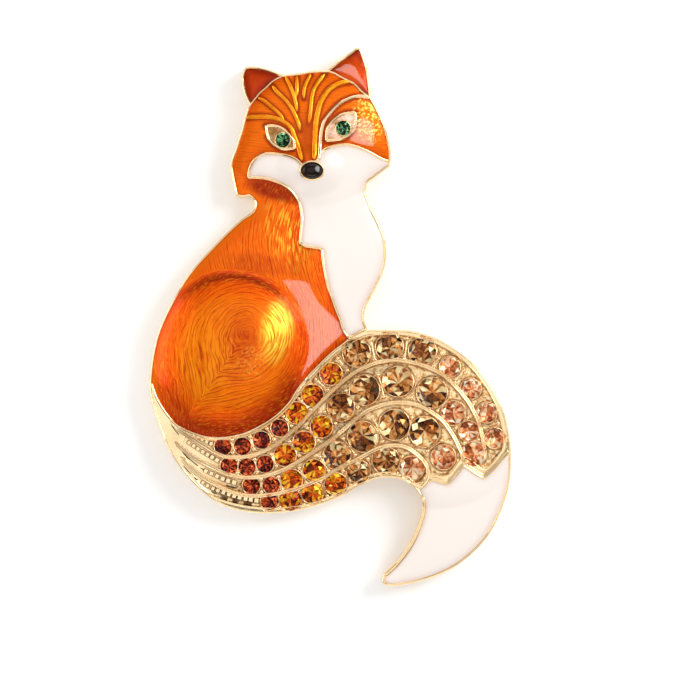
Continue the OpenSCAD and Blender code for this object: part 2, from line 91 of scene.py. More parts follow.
# Walls between the cells
EAR_LINE_LEFT = [(283, 76), (276, 79.5), (271, 83), (266, 88), (260, 93), (256, 98), (252, 103), (248, 109)]
EAR_LINE_RIGHT = [(328, 71.5), (334, 73.5), (340, 77), (350, 82), (354, 84), (358, 88), (362, 92), (369, 97)]
CHEEK_LINE_LEFT = [
    (248, 177.5), (249, 170), (252, 163), (257, 157.5), (263, 154), (270, 153.5), (278, 154),
    (286, 155.5), (293, 158), (298, 161), (302, 165)]
CHEEK_LINE_RIGHT = [
    (316, 162), (318, 158), (321, 153), (326, 149), (333, 146.5), (341, 145), (349, 145), (357, 147),
    (365, 150), (373, 154), (380, 158), (388, 161)]
BIB_LINE = [
    [(248, 177.5), (256, 177.5), (265, 178.5), (274, 181), (283, 185), (290, 190), (295, 196),
     (299, 203), (301, 210), (302, 220), (301, 230), (300, 242)],
    [(300, 242), (303, 245.5), (311, 247), (319, 248.5), (322, 251)],
    [(322, 251), (323, 260), (324.5, 270), (326.5, 280), (329, 290), (332.5, 300), (336, 310),
     (340, 320), (343, 330), (348, 337)],
]
BIB_FOOT = [(348, 337), (352, 336), (358, 333), (366, 329.5)]
BODY_LINE = [
    (348, 340), (343, 344), (335, 350), (327, 357), (319, 365), (311, 373), (303, 382), (297, 390),
    (291, 400), (285, 407), (278, 414), (270, 420), (262, 425), (252, 430), (242, 434), (230, 437),
    (218, 438), (205, 437), (195, 434), (185, 430), (175, 424), (167, 415), (160, 405), (155, 395),
    (151.5, 384)]
TIP_LINE = [
    [(421, 487), (427, 481), (432, 478.5), (440, 480.5), (447, 482.5)],
    [(447, 482.5), (451, 479), (456, 473), (461, 467), (464, 464.5)],
    [(464, 464.5), (470, 468), (477, 473), (484, 476.5)],
    [(484, 476.5), (489, 472), (496, 465), (503, 457), (509, 451)],
]

# Ridges between the stone rows of the tail
RIDGES = [
    [(170, 421), (178, 429), (187, 435.5), (200, 443.5), (208, 448.5), (215, 452.5), (225, 456.5),
     (235, 457), (245, 456.5), (255, 454.5), (265, 450.5), (275, 445), (285, 437), (295, 429), (303, 421),
     (311, 412), (318, 405), (325, 398), (333, 390), (341, 383), (349, 376.5), (357, 371), (365, 367),
     (375, 363), (385, 361), (395, 360), (405, 361), (415, 363), (425, 366), (435, 370.5), (443, 375),
     (450, 381), (457, 388), (463, 395), (469, 403), (474, 412), (478, 421), (481, 430), (483, 440),
     (485, 452)],
    [(174, 441), (180, 447), (190, 455), (200, 461.5), (208, 465.5), (215, 469), (225, 473), (235, 475.5),
     (245, 477), (255, 477), (265, 475.5), (275, 472.5), (285, 468.5), (295, 463), (305, 457),
     (315, 450.5), (325, 444), (335, 437), (342, 431), (350, 424), (358, 417), (366, 411), (375, 407),
     (385, 404), (395, 402.5), (405, 402.5), (415, 404), (425, 408), (435, 414.5), (443, 421), (449, 429),
     (454, 437), (458, 445), (462, 454), (464, 463)],
    [(180, 456), (188, 465.5), (200, 475.5), (208, 481), (215, 484.5), (225, 489), (235, 493), (245, 495),
     (255, 495.5), (265, 495), (275, 493.5), (285, 491.5), (295, 488.5), (305, 485), (315, 481),
     (325, 476.5), (335, 470), (345, 464.5), (355, 460), (365, 454.5), (375, 449), (385, 446), (395, 445),
     (405, 446.5), (413, 451), (420, 457), (425, 463), (428, 470), (428, 477), (425, 483)],
]

# Rows of small square bosses at the left end of the tail, with the size of the last in each
BANDS = [
    ([(193, 434), (203, 440), (213, 444.5)], 4.0),
    ([(188, 442), (200, 450), (211, 456.5), (219.5, 461.5)], 4.6),
    ([(205, 470.5), (214, 474.5), (226, 480), (239, 483.5)], 5.2),
    ([(202, 482), (210, 487), (222, 492), (240, 497.5), (258, 500.5)], 4.8),
]
# Short dark grooves between them
GROOVES = [
    [(171, 425), (175, 430.5), (179, 435)],
    [(182, 452), (190, 459.5), (198, 466)],
    [(200, 467.5), (204, 470), (208, 472.5)],
    [(183, 465.5), (187, 470), (191, 474)],
    [(193, 476), (195.5, 478.3), (198, 480.5)],
    [(226, 485.3), (231, 487), (237, 488.3)],
    [(211, 491.5), (214, 493), (217, 494.3)],
    [(221, 496.2), (224, 497.5), (228, 498.8)],
    [(232, 500), (235, 501), (239, 502)],
    [(243, 502.8), (247, 503.6), (252, 504.2)],
]

# Raised wires of the forehead, with the width of each
WIRES = [
    ([(245, 118), (252, 117.3), (262, 117), (270, 117.5), (277, 119), (283, 121.5), (288, 125), (292, 130),
      (295, 138), (298, 146), (300, 153), (302, 161)], 2.7),
    ([(258, 98), (264, 101), (270, 106), (276, 111), (281, 116), (284, 121)], 2.0),
    ([(272, 86), (276, 91), (282, 97), (287, 102), (292, 109), (296, 117), (299, 125), (300, 131)], 2.2),
    ([(285, 77), (288, 82), (291, 88), (294, 96), (296, 104), (297, 112)], 2.0),
    ([(297, 76), (297, 84), (297, 92), (296, 98)], 2.0),
    ([(311, 74), (306, 84), (304, 92), (304, 99)], 2.0),
    ([(325, 74), (318, 83), (314, 90), (312, 98), (311, 108), (310, 118), (309, 124)], 2.2),
    ([(350, 82), (342, 83), (335, 86), (329, 90), (325, 95), (321, 102), (318.5, 110), (316.4, 120),
      (315.4, 130), (314.8, 145), (314.2, 160)], 3.5),
]
BROW = [(370, 98), (362, 96.5), (355, 97), (348, 99.5), (341, 103), (335, 108), (329.5, 114), (325, 120),
        (322.4, 127), (320.8, 135), (320.2, 145), (319.3, 159)]

EYE_FRAMES = [
    [(266, 126.5), (272, 126), (279, 127.5), (285, 131), (290, 136), (294, 142), (295, 148.5),
     (285, 149.5), (278, 147.5), (272, 143), (268, 137)],
    [(355, 113), (345, 114), (338, 117), (332, 122), (328, 128), (326.5, 134), (326.5, 141),
     (338, 140), (344, 138), (350, 134.5), (354, 129), (356, 121)],
]
NOSE = (312, 171, 10.6, 7.9)

# Stones of the four rows: x, y, kind, as in the part
STONE_KINDS = {
    "red": (1.75, "dark_red_crystal"),
    "orange": (2.22, "orange_crystal"),
    "champagne": (2.78, "champagne_crystal"),
    "large": (3.08, "champagne_crystal"),
    "honey": (2.35, "champagne_crystal"),
    "peach": (2.05, "peach_crystal"),
    "blush": (2.45, "peach_crystal"),
    "green": (1.5, "green_crystal"),
}
ROWS = [
    [(223, 446.5, "red"), (242.5, 446, "red"), (261.5, 440, "red"), (279.5, 428, "red"), (297, 413, "orange"),
     (312.5, 395.5, "orange"), (331, 374, "orange"), (356.5, 353, "champagne"), (389.5, 346.5, "champagne"),
     (422.5, 351, "champagne"), (450, 366.5, "peach"), (471, 388.5, "peach"), (487, 412.5, "peach"),
     (495, 438, "peach")],
    [(229, 466, "red"), (247, 467, "red"), (265, 463.8, "red"), (285, 455, "orange"), (304, 442, "orange"),
     (321.5, 426.5, "orange"), (341, 407, "champagne"), (364.5, 390, "large"), (398, 381.5, "large"),
     (432, 392.5, "large"), (453.5, 413, "blush"), (469, 431, "peach"), (474, 453.5, "blush")],
    [(251.4, 485.5, "red"), (271.2, 485, "red"), (291.5, 480, "orange"), (314, 470, "orange"),
     (337, 455.5, "champagne"), (363, 436.5, "large"), (394.5, 424.5, "large"), (424.5, 431.5, "large"),
     (443.5, 457, "blush")],
    [(269.5, 501.5, "red"), (290.5, 500, "orange"), (312.5, 493, "orange"), (335.5, 483.5, "orange"),
     (358.5, 471.5, "honey"), (386, 460.5, "champagne"), (412, 468, "blush")],
]
EYES = [(283, 140.5, "green"), (343, 128.5, "green")]


# Grid and relief

def at(x, y):
    """A place of the drawing grid in metres."""
    return (x - MID_X) * UNIT_X, (MID_Y - y) * UNIT_Y


def own_axes(x, y, cx, cy, half_w, half_h, turn=0.0):
    """A place in an ellipse's own axes, where its edge lies at 1."""
    c, s = math.cos(math.radians(turn)), math.sin(math.radians(turn))
    dx, dy = x - cx, y - cy
    return (dx * c + dy * s) / half_w, (dy * c - dx * s) / half_h


def ellipse(p, *shape):
    """How far out each point lies in an ellipse, 1 at its edge."""
    return np.hypot(*own_axes(*p.T, *shape))


def relief(x, y):
    """Height of the part's relief at a place of the grid, for numbers or arrays."""
    height = EDGE_H + 0 * np.asarray(x, float)
    for *dome, rise, foot in RELIEF:
        a, b = own_axes(x, y, *dome)
        height = height + rise * MM * np.clip(1 - (a ** 2 + b ** 2), 0, 1) ** foot
    return height


def smooth(points, step=1.5):
    """A smooth line through the points, with places about one step apart."""
    p = np.array([points[0]] + list(points) + [points[-1]], float)
    line = []
    for i in range(1, len(p) - 2):
        count = max(1, round(float(np.hypot(*(p[i + 1] - p[i]))) / step))
        for t in np.arange(count) / count:
            line.append(0.5 * (2 * p[i] + (p[i + 1] - p[i - 1]) * t
                               + (2 * p[i - 1] - 5 * p[i] + 4 * p[i + 1] - p[i + 2]) * t ** 2
                               + (3 * p[i] - p[i - 1] - 3 * p[i + 1] + p[i + 2]) * t ** 3))
    return np.array(line + [p[-1]])


def joined(curves, step=1.5):
    """Smooth curves that meet at corners, as one line."""
    parts = [smooth(c, step)[:-1] for c in curves]
    return np.vstack(parts + [[curves[-1][-1]]])


def normals(line, closed):
    """Unit normals of a line, to its right on the grid, with corners shared out."""
    if closed:
        before, after = np.roll(line, 1, 0), np.roll(line, -1, 0)
    else:
        before, after = np.vstack([line[:1], line[:-1]]), np.vstack([line[1:], line[-1:]])
    a, b = line - before, after - line
    a /= np.maximum(np.hypot(*a.T), 1e-9)[:, None]
    b /= np.maximum(np.hypot(*b.T), 1e-9)[:, None]
    t = a + b
    t /= np.maximum(np.hypot(*t.T), 1e-9)[:, None]
    return np.stack([-t[:, 1], t[:, 0]], 1)


OUTLINE = joined(OUTLINE_CURVES)[:-1]
INWARD = normals(OUTLINE, True)
RIM = OUTLINE + INWARD * 1.6


def along(a, b):
    """The stretch of the inset outline from the place nearest to a, on to the one nearest to b."""
    i, j = (int(np.argmin(np.hypot(*(OUTLINE - p).T))) for p in (a, b))
    return RIM[i:j + 1] if i <= j else np.vstack([RIM[i:], RIM[:j + 1]])


def line_distance(points, line):
    """Distance of each point from an open line, in grid units."""
    a, b = line[:-1], line[1:]
    d = b - a
    size = np.maximum((d ** 2).sum(1), 1e-9)
    far = np.empty(len(points))
    for i in range(0, len(points), 4000):
        p = points[i:i + 4000]
        t = np.clip(((p[:, None] - a) * d).sum(2) / size, 0, 1)
        far[i:i + 4000] = np.sqrt(((a + t[..., None] * d - p[:, None]) ** 2).sum(2).min(1))
    return far


def edge_distance(points, ring):
    """Distance of each point from a closed ring, in grid units."""
    return line_distance(points, np.vstack([ring, ring[:1]]))


def inside(points, ring):
    """True for the points inside a closed ring."""
    x, y = points[:, 0][:, None], points[:, 1][:, None]
    x0, y0 = ring.T
    x1, y1 = np.roll(ring, -1, 0).T
    with np.errstate(divide="ignore", invalid="ignore"):
        crosses = ((y0 > y) != (y1 > y)) & (x < (x1 - x0) * (y - y0) / (y1 - y0) + x0)
    return crosses.sum(1) % 2 == 1


def inner_distance(points, ring):
    """Distance of each point from a closed ring, below zero outside it."""
    return edge_distance(points, ring) * np.where(inside(points, ring), 1, -1)


def lengths(line):
    """How far along a line each of its places lies, in grid units."""
    return np.concatenate([[0], np.cumsum(np.hypot(*np.diff(line, axis=0).T))])


def area(ring):
    """Area of a ring, below zero where it runs the other way round."""
    x, y = ring.T
    return 0.5 * float((x * np.roll(y, -1) - np.roll(x, -1) * y).sum())


def rising(value, start, width):
    """A share that rises from 0 to 1 over a width."""
    return np.clip((value - start) / width, 0, 1)


def left_calm(x):
    """A share that is low at the left end of the tail, where its bands run together."""
    return np.clip((x - 165) / 60, 0.3, 1)


def half_width(kind):
    """Half the width of a kind of stone, in grid units."""
    return STONE_KINDS[kind][0] / 2 / UNIT_MM


# Mesh helpers

def flipped(faces):
    return [tuple(reversed(f)) for f in faces]


def strip_faces(rows, width, closed):
    """Faces between rows of points that lie one behind the other, as of a swept profile."""
    return [(i * width + k, i * width + k + 1, (i + 1) % rows * width + k + 1, (i + 1) % rows * width + k)
            for i in range(rows if closed else rows - 1) for k in range(width - 1)]


def ring_faces(rings, sides):
    """Faces between rings of points that lie one on the other, as of a turned profile."""
    return [(i * sides + k, i * sides + (k + 1) % sides, (i + 1) * sides + (k + 1) % sides,
             (i + 1) * sides + k) for i in range(rings - 1) for k in range(sides)]


def linked(name, data):
    """A new object in the scene."""
    obj = bpy.data.objects.new(name, data)
    bpy.context.collection.objects.link(obj)
    return obj


def mesh_object(name, points, faces, material, slot, smooth_faces=True, values=None):
    """A piece of the part from points and faces, with numbers for its material at each point."""
    mesh = bpy.data.meshes.new(name)
    mesh.from_pydata([tuple(p) for p in points], [], [tuple(f) for f in faces])
    mesh.update()
    mesh.polygons.foreach_set("use_smooth", [smooth_faces] * len(mesh.polygons))
    for key, numbers in (values or {}).items():
        numbers = np.asarray(numbers, np.float32)
        layer = mesh.attributes.new(key, "FLOAT" if numbers.ndim == 1 else "FLOAT_VECTOR", "POINT")
        layer.data.foreach_set("value" if numbers.ndim == 1 else "vector", numbers.ravel())
    mesh.materials.append(material)
    obj = linked(name, mesh)
    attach(obj, "root")
    return obj


# Distance between the rows of a lattice, and how far it stays from the edge, in spacings
LATTICE_ROW = 0.866
LATTICE_CLEAR = 0.45


def filled(ring, spacing):
    """Triangles that fill a ring, with a lattice of points inside, and how far each is from the edge."""
    if area(ring) < 0:
        ring = ring[::-1]
    low, high = ring.min(0), ring.max(0)
    rows = []
    for k, y in enumerate(np.arange(low[1], high[1], spacing * LATTICE_ROW)):
        x = np.arange(low[0] + (k % 2) * spacing / 2, high[0], spacing)
        rows.append(np.stack([x, np.full_like(x, y)], 1))
    lattice = np.vstack(rows)
    lattice = lattice[inside(lattice, ring)]
    far = edge_distance(lattice, ring)
    lattice = lattice[far > spacing * LATTICE_CLEAR]
    points = [Vector(p) for p in np.vstack([ring, lattice])]
    got = delaunay_2d_cdt(points, [], [list(range(len(ring)))], 1, 1e-6)
    flat = np.array([tuple(v) for v in got[0]])
    return flat, [tuple(f) for f in got[2]], edge_distance(flat, ring)


def sheet(name, ring, spacing, height, material, slot, values=None, depth=0.4 * MM):
    """A closed shell over a ring of the grid: its top follows a height function, its foot lies below."""
    flat, faces, far = filled(ring, spacing)
    top = np.column_stack([*at(*flat.T), height(flat, far)])
    count = len(top)
    edges = {(a, b) for f in faces for a, b in zip(f, f[1:] + f[:1])}
    walls = [(a, count + a, count + b, b) for a, b in edges if (b, a) not in edges]
    foot = [tuple(count + k for k in reversed(f)) for f in faces]
    extra = {"edge": np.tile(far, 2)}
    for key, rule in (values or {}).items():
        numbers = rule(flat)
        extra[key] = np.concatenate([numbers, numbers])
    points = np.vstack([top, top - (0, 0, depth)])
    return mesh_object(name, points, flipped(faces + walls + foot), material, slot, True, extra)


class Build:
    """Collects points and faces of many small shapes for one mesh."""

    def __init__(self):
        self.points, self.faces = [], []

    def add(self, points, faces):
        start = len(self.points)
        self.points += [tuple(p) for p in points]
        self.faces += [tuple(start + k for k in f) for f in faces]

    def sweep(self, line, profile, closed=False, ends=0.0, lift=0.0, calmed=False):
        """Draws a profile of (across, up) in mm along a line of the grid, on the relief.

        It thins out over a length at both ends, and where calmed is set, it is low at the left."""
        side = normals(line, closed)
        mid = np.stack(at(*line.T), 1)
        out = np.stack([side[:, 0], -side[:, 1]], 1)
        base = relief(*line.T)
        calm = left_calm(line[:, 0]) if calmed else 1
        n, m = len(line), len(profile)
        scale = np.ones(n)
        if ends:
            gone = lengths(line)
            near = np.minimum(gone, gone[-1] - gone)
            scale = np.sqrt(np.clip(1 - (1 - np.clip(near / ends, 0, 1)) ** 2, 0.02, 1))
        rows = np.empty((n, m, 3))
        for k, (across, up) in enumerate(profile):
            rows[:, k, :2] = mid + out * (across * MM * scale)[:, None]
            rows[:, k, 2] = base + (up * scale * (calm if up > 0 else 1) + lift) * MM
        faces = strip_faces(n, m, closed)
        if not closed:
            faces += [tuple(reversed(range(m))), tuple((n - 1) * m + k for k in range(m))]
        self.add(rows.reshape(-1, 3), faces)

    def turned(self, x, y, profile, sides, lift=0.0, squeeze=(1, 1)):
        """A turned shape from a profile of (radius, height) in mm, standing on the relief."""
        place = stand(x, y, lift)
        points = []
        for r, h in profile:
            for k in range(sides):
                t = 2 * math.pi * k / sides
                points.append(place(r * math.cos(t) * squeeze[0], r * math.sin(t) * squeeze[1], h))
        top = tuple((len(profile) - 1) * sides + k for k in range(sides))
        self.add(points, ring_faces(len(profile), sides) + [top])

    def ball(self, x, y, radius, lift):
        """A small bead, as a low dome in mm on the relief."""
        arc = [(math.cos(t), math.sin(t)) for t in (-0.6, 0, 0.45, 0.85, 1.2)]
        self.turned(x, y, [(radius * c, radius * s) for c, s in arc] + [(radius * 0.02, radius)], 8, lift)

    def block(self, x, y, turn, long, wide, low, high):
        """A small boss with bevelled edges, between two heights in mm above the relief."""
        place = stand(x, y, 0.0, False, turn)
        points = []
        for share, h in ((1.0, low), (1.0, low * 0.15 + high * 0.85), (0.86, high)):
            for a, b in ((1, 1), (-1, 1), (-1, -1), (1, -1)):
                points.append(place(a * share * long / 2, b * share * wide / 2, h))
        self.add(points, ring_faces(3, 4) + [(8, 9, 10, 11), (3, 2, 1, 0)])

    def object(self, name, material, slot, values=None, smooth_faces=True):
        return mesh_object(name, self.points, self.faces, material, slot, smooth_faces, values)


def stand(x, y, lift=0.0, tilt=True, turn=0.0):
    """A function that puts mm of a small shape's own frame on the relief, turned and tilted to its slope."""
    reach = 2
    sx = sy = 0.0
    if tilt:
        sx = float(relief(x + reach, y) - relief(x - reach, y)) / (2 * reach * UNIT_X)
        sy = float(relief(x, y - reach) - relief(x, y + reach)) / (2 * reach * UNIT_Y)
    up = Vector((-sx, -sy, 1)).normalized()
    across = Vector((1, 0, sx)).normalized()
    side = up.cross(across)
    origin = Vector((*at(x, y), float(relief(x, y))))
    c, s = math.cos(turn), math.sin(turn)

    def place(a, b, h):
        return origin + (across * (a * c - b * s) + side * (a * s + b * c) + up * (h + lift)) * MM
    return place


# Materials

# Direction that the clear coat leans to where it mirrors the key lamp
KEY_LEAN = (0.40, 0.21, 1.0)


class Shader:
    """A Principled material with its helpers."""

    def __init__(self, name, **sockets):
        self.material = bpy.data.materials.new(name)
        self.material.use_nodes = True
        self.tree = self.material.node_tree
        self.out = self.tree.nodes["Principled BSDF"]
        for key, value in sockets.items():
            self.out.inputs[key.replace("_", " ").title().replace("Ior", "IOR")].default_value = value
        self.where = self.node("TexCoord", "Object")

    def node(self, kind, output, values=None, **settings):
        """An output of a new node, whose inputs get numbers and colours or are linked."""
        n = self.tree.nodes.new("ShaderNode" + kind)
        for key, value in settings.items():
            setattr(n, key, value)
        for key, value in (values or {}).items():
            if isinstance(value, bpy.types.NodeSocket):
                self.tree.links.new(value, n.inputs[key])
            elif n.inputs[key].type == "RGBA":
                n.inputs[key].default_value = (*value, 1)
            else:
                n.inputs[key].default_value = value
        return n.outputs[output]

    def use(self, socket, value):
        self.tree.links.new(value, self.out.inputs[socket])

    def attribute(self, key, part="Fac"):
        return self.node("Attribute", part, attribute_name=key)

    def noise(self, scale, detail=3.0, rough=0.5, where=None):
        values = {"Scale": scale, "Detail": detail, "Roughness": rough, "Vector": where or self.where}
        return self.node("TexNoise", "Fac", values)

    def math(self, kind, *values, clamp=False):
        return self.node("Math", "Value", dict(enumerate(values)), operation=kind, use_clamp=clamp)

    def times(self, a, b):
        return self.math("MULTIPLY", a, b)

    def spread(self, value, low, high, to_low=0.0, to_high=1.0, kind="SMOOTHSTEP"):
        values = {"Value": value, "From Min": low, "From Max": high, "To Min": to_low, "To Max": to_high}
        return self.node("MapRange", "Result", values, interpolation_type=kind)

    def ramp(self, value, stops):
        colour = self.node("ValToRGB", "Color", {"Fac": value})
        ramp = colour.node.color_ramp
        while len(ramp.elements) < len(stops):
            ramp.elements.new(0.5)
        for e, (place, tone) in zip(ramp.elements, stops):
            e.position = place
            e.color = (*tone, 1)
        return colour

    def mix(self, share, a, b):
        return self.node("Mix", 2, {0: share, 6: a, 7: b}, data_type="RGBA")

    def bump(self, height, distance, strength):
        """Fine relief of the whole surface, from a height."""
        values = {"Distance": distance, "Strength": strength, "Height": height}
        self.use("Normal", self.node("Bump", "Normal", values))

    def mirror_lamp(self, rise, least):
        """A clear coat that is glossier, and leans to the key lamp, where the gleam mask says so."""
        gleam = self.attribute("gleam")
        self.use("Coat Weight", self.math("MULTIPLY_ADD", gleam, rise, least))
        share = self.times(self.math("MULTIPLY", gleam, 2.5, clamp=True), 0.8)
        own = self.node("NewGeometry", "Normal")
        lean = self.node("Mix", 1, {0: share, 4: own, 5: KEY_LEAN}, data_type="VECTOR")
        self.use("Coat Normal", self.node("VectorMath", "Vector", {0: lean}, operation="NORMALIZE"))


# Scale of the casting grain
GRAIN = 2600


def gold(name, colour, dark, rough):
    """Polished gold plating with fine casting grain and a deeper tone in random patches."""
    s = Shader(name, metallic=1.0)
    s.use("Base Color", s.mix(s.spread(s.noise(700, 4, 0.6), 0.38, 0.66), dark, colour))
    s.use("Roughness", s.spread(s.noise(GRAIN, 3), 0.3, 0.7, rough * 0.7, rough * 1.35))
    s.bump(s.noise(GRAIN, 3, 0.6), 0.00002, 0.35)
    return s.material


def floor_gold():
    """Gold round the stones: bright where it is smooth, deep and grained in the channels, with painted shade
    in its creases.
    """
    s = Shader("gold_floor", metallic=1.0)
    grain = s.noise(GRAIN, 4, 0.65)
    sunk = s.attribute("sunk")
    smooth_tone = s.ramp(s.noise(500, 3), [(0.3, (0.97, 0.70, 0.39)), (0.7, (1.0, 0.77, 0.46))])
    deep_tone = s.ramp(grain, [(0.34, (0.30, 0.13, 0.04)), (0.47, (0.82, 0.50, 0.22)),
                               (0.6, (1.0, 0.78, 0.46))])
    tone = s.mix(sunk, smooth_tone, deep_tone)
    # Painted shade in the creases
    s.use("Base Color", s.mix(s.times(s.attribute("crease_shade"), 0.85), tone, (0.16, 0.06, 0.015)))
    s.use("Roughness", s.spread(grain, 0.3, 0.7, 0.16, 0.32))
    s.bump(s.times(grain, s.math("MULTIPLY_ADD", sunk, 0.95, 0.05)), 0.00008, 0.5)
    return s.material


def glossy_enamel(name, metallic, rough, level):
    """The start of an enamel under a clear coat."""
    return Shader(name, metallic=metallic, roughness=rough, specular_ior_level=level,
                  coat_roughness=0.03, coat_ior=1.5)


def orange_enamel():
    """Translucent orange enamel over gold, with hair strokes and the swirl of the thigh engraved in it."""
    s = glossy_enamel("orange_enamel", 0.45, 0.34, 0.08)
    thigh = s.attribute("thigh")
    calm = s.attribute("calm")
    cloud = s.noise(260, 3, 0.6)
    depth = s.spread(s.attribute("edge"), 0.3, 11, kind="LINEAR")
    tone = s.math("ADD", s.times(depth, 0.75), s.times(cloud, 0.4))
    body = s.ramp(tone, [
        (0.10, (0.18, 0.010, 0.001)), (0.22, (0.55, 0.04, 0.001)), (0.38, (0.84, 0.082, 0.001)),
        (0.8, (0.94, 0.115, 0.002)), (1.0, (0.97, 0.15, 0.002))])
    amber = s.ramp(s.math("MULTIPLY_ADD", cloud, 0.12, thigh), [
        (0.06, (0.92, 0.085, 0.002)), (0.12, (0.90, 0.080, 0.001)), (0.2, (0.92, 0.09, 0.001)),
        (0.32, (0.95, 0.12, 0.001)), (0.45, (0.98, 0.18, 0.002)), (0.8, (0.98, 0.17, 0.002))])
    body = s.mix(s.math("SUBTRACT", 0.9, calm), body, (1.0, 0.20, 0.003))
    base = s.mix(s.spread(thigh, 0.0, 0.04), body, amber)

    # Soft strokes, and sharp cut lines a step apart, which drift and break off
    place = s.attribute("stroke", "Vector")
    strokes = s.noise(1.5, 2, 0.5, place)
    fine = s.noise(3.2, 2, 0.5, place)
    across = s.node("SeparateXYZ", "Z", {"Vector": place})
    drift = s.times(s.noise(0.35, 1, 0.5, place), 2.4)
    step = s.math("PINGPONG", s.math("MULTIPLY_ADD", across, 0.84, drift), 0.5)
    breaks = s.spread(s.noise(0.8, 1, 0.5, place), 0.36, 0.5, 0.1, 1.0)
    cut = s.times(s.times(s.spread(step, 0.04, 0.2, 1.0, 0.0), breaks), 0.7)
    # Fine specks for the painted glints
    glint_speck = s.spread(s.noise(3600, 2, 0.6), 0.5, 0.6)

    # Colours laid one over the other: where, how much, and which
    for mask, share, colour in (
            # Darker red along the lower wall of the thigh, and painted shade below the cheek and over the
            # thigh
            ("low", 0.95, (0.33, 0.017, 0.001)),
            ("dusk", s.spread(strokes, 0.3, 0.6, 1.0, 0.5), (0.44, 0.032, 0.001)),
            ("glow", s.spread(strokes, 0.3, 0.62), (1.0, 0.30, 0.004)),
            # Painted highlight: the yellow flash of the gold under the enamel on the thigh's right side
            ("painted_flash", s.spread(strokes, 0.38, 0.56, 0.25, 1.0), (1.0, 0.80, 0.07)),
            ("ring", 0.95, (0.20, 0.010, 0.001)),
            ("calm", s.spread(strokes, 0.34, 0.52, 0.22, 0.0), (0.50, 0.040, 0.001)),
            ("calm", cut, (0.42, 0.03, 0.001)),
            ("calm", s.spread(fine, 0.52, 0.66, 0.0, 0.4), (1.0, 0.30, 0.008)),
            # Painted glints: yellow strokes on the right of the neck
            ("glint_streak", s.spread(strokes, 0.50, 0.60), (1.0, 0.56, 0.04)),
            # Painted shade beside the wires, the brow and the eye frames
            ("line", 1.0, (0.30, 0.022, 0.001)),
            # Painted glints: yellow specks on the right cheek and in the thigh
            ("painted_glint", glint_speck, (1.0, 0.66, 0.10)),
            ("bridge", 0.75, (0.46, 0.055, 0.002))):
        base = s.mix(s.times(s.attribute(mask), share), base, colour)
    s.use("Base Color", base)
    height = s.math("MULTIPLY_ADD", fine, 0.4, strokes)
    s.bump(s.times(height, s.math("MULTIPLY_ADD", calm, 0.8, 0.2)), 0.00011, 0.5)
    s.mirror_lamp(0.55, 0.07)
    return s.material


def red_enamel():
    """Dark red translucent enamel of the ears, lighter where it is thin."""
    s = glossy_enamel("red_enamel", 0.4, 0.32, 0.08)
    depth = s.spread(s.attribute("edge"), 0.0, 9)
    tone = s.math("MULTIPLY_ADD", s.noise(420, 3, 0.6), 0.5, s.times(depth, 0.6))
    deep = s.ramp(tone, [(0.0, (0.12, 0.006, 0.0)), (0.4, (0.32, 0.02, 0.001)), (0.75, (0.50, 0.035, 0.002)),
                         (1.0, (0.62, 0.06, 0.004))])
    s.use("Base Color", s.mix(s.attribute("warm"), deep, (0.80, 0.10, 0.003)))
    s.bump(s.noise(1500, 3), 0.00005, 0.4)
    s.mirror_lamp(0.7, 0.12)
    return s.material


def white_enamel():
    """Opaque white enamel, darker and warmer at its edges, as painted shade where it meets the walls."""
    s = Shader("white_enamel", roughness=0.3, coat_weight=0.25, coat_roughness=0.04, coat_ior=1.5)
    # The tone runs darker and warmer towards the edges: painted shade where the enamel meets the walls
    tone = s.math("MULTIPLY_ADD", s.noise(90, 2), 0.45, s.spread(s.attribute("edge"), 0, 10, 0.0, 0.6))
    s.use("Base Color", s.ramp(tone, [(0.0, (0.60, 0.46, 0.36)), (0.22, (0.84, 0.70, 0.62)),
                                      (0.6, (0.91, 0.80, 0.73)), (1.0, (0.92, 0.85, 0.79))]))
    s.bump(s.noise(500, 2), 0.00003, 0.2)
    return s.material


def black_enamel():
    """Opaque black enamel with a faint brown cast."""
    s = glossy_enamel("black_enamel", 0.0, 0.3, 0.1)
    s.use("Base Color", s.ramp(s.noise(900, 3), [(0.3, (0.004, 0.002, 0.002)), (0.75, (0.02, 0.008, 0.005))]))
    s.bump(s.noise(800, 2), 0.00004, 0.2)
    s.mirror_lamp(0.7, 0.25)
    return s.material


def cut_glass(name, tones, alpha, metallic, rough):
    """Facets of a cut stone; each facet has a tone of its own, from deep to bright, as painted reflections
    and highlights.
    """
    s = Shader(name, metallic=metallic, roughness=rough, ior=1.6, specular_ior_level=0.2, alpha=alpha)
    tone = s.math("MULTIPLY_ADD", s.math("SUBTRACT", s.noise(1600, 2), 0.5), 0.12, s.attribute("facet"))
    s.use("Base Color", s.ramp(tone, [(k / (len(tones) - 1), t) for k, t in enumerate(tones)]))
    return s.material


PALE_GOLD = gold("gold_plate", (1.0, 0.75, 0.44), (0.96, 0.67, 0.36), 0.15)
# Near-black gold for the grooves and the outlines of the bosses: painted shade in their gaps
SHADE_GOLD = gold("gold_groove_shade", (0.11, 0.05, 0.017), (0.03, 0.012, 0.004), 0.4)
FLOOR_GOLD = floor_gold()
WIRE_GOLD = gold("gold_under_enamel", (1.0, 0.42, 0.03), (1.0, 0.30, 0.01), 0.38)
ORANGE = orange_enamel()
RED = red_enamel()
WHITE = white_enamel()
BLACK = black_enamel()
# The same eye floor in two tones: the left one darker, as painted shade
EYE_FLOORS = [gold("eye_floor_left_shaded", (0.80, 0.48, 0.22), (0.34, 0.15, 0.045), 0.35),
              gold("eye_floor_right", (0.95, 0.72, 0.58), (0.62, 0.30, 0.15), 0.35)]


# Enamel

# How far the edge of an enamel lies below its walls, in mm
SINK = 0.04
# Depth of the orange enamel's top inside the eyes, in mm
EYE_SINK = 0.75
# Width of a mirrored lamp's soft edge, in grid units
GLEAM_EDGE = 2.2


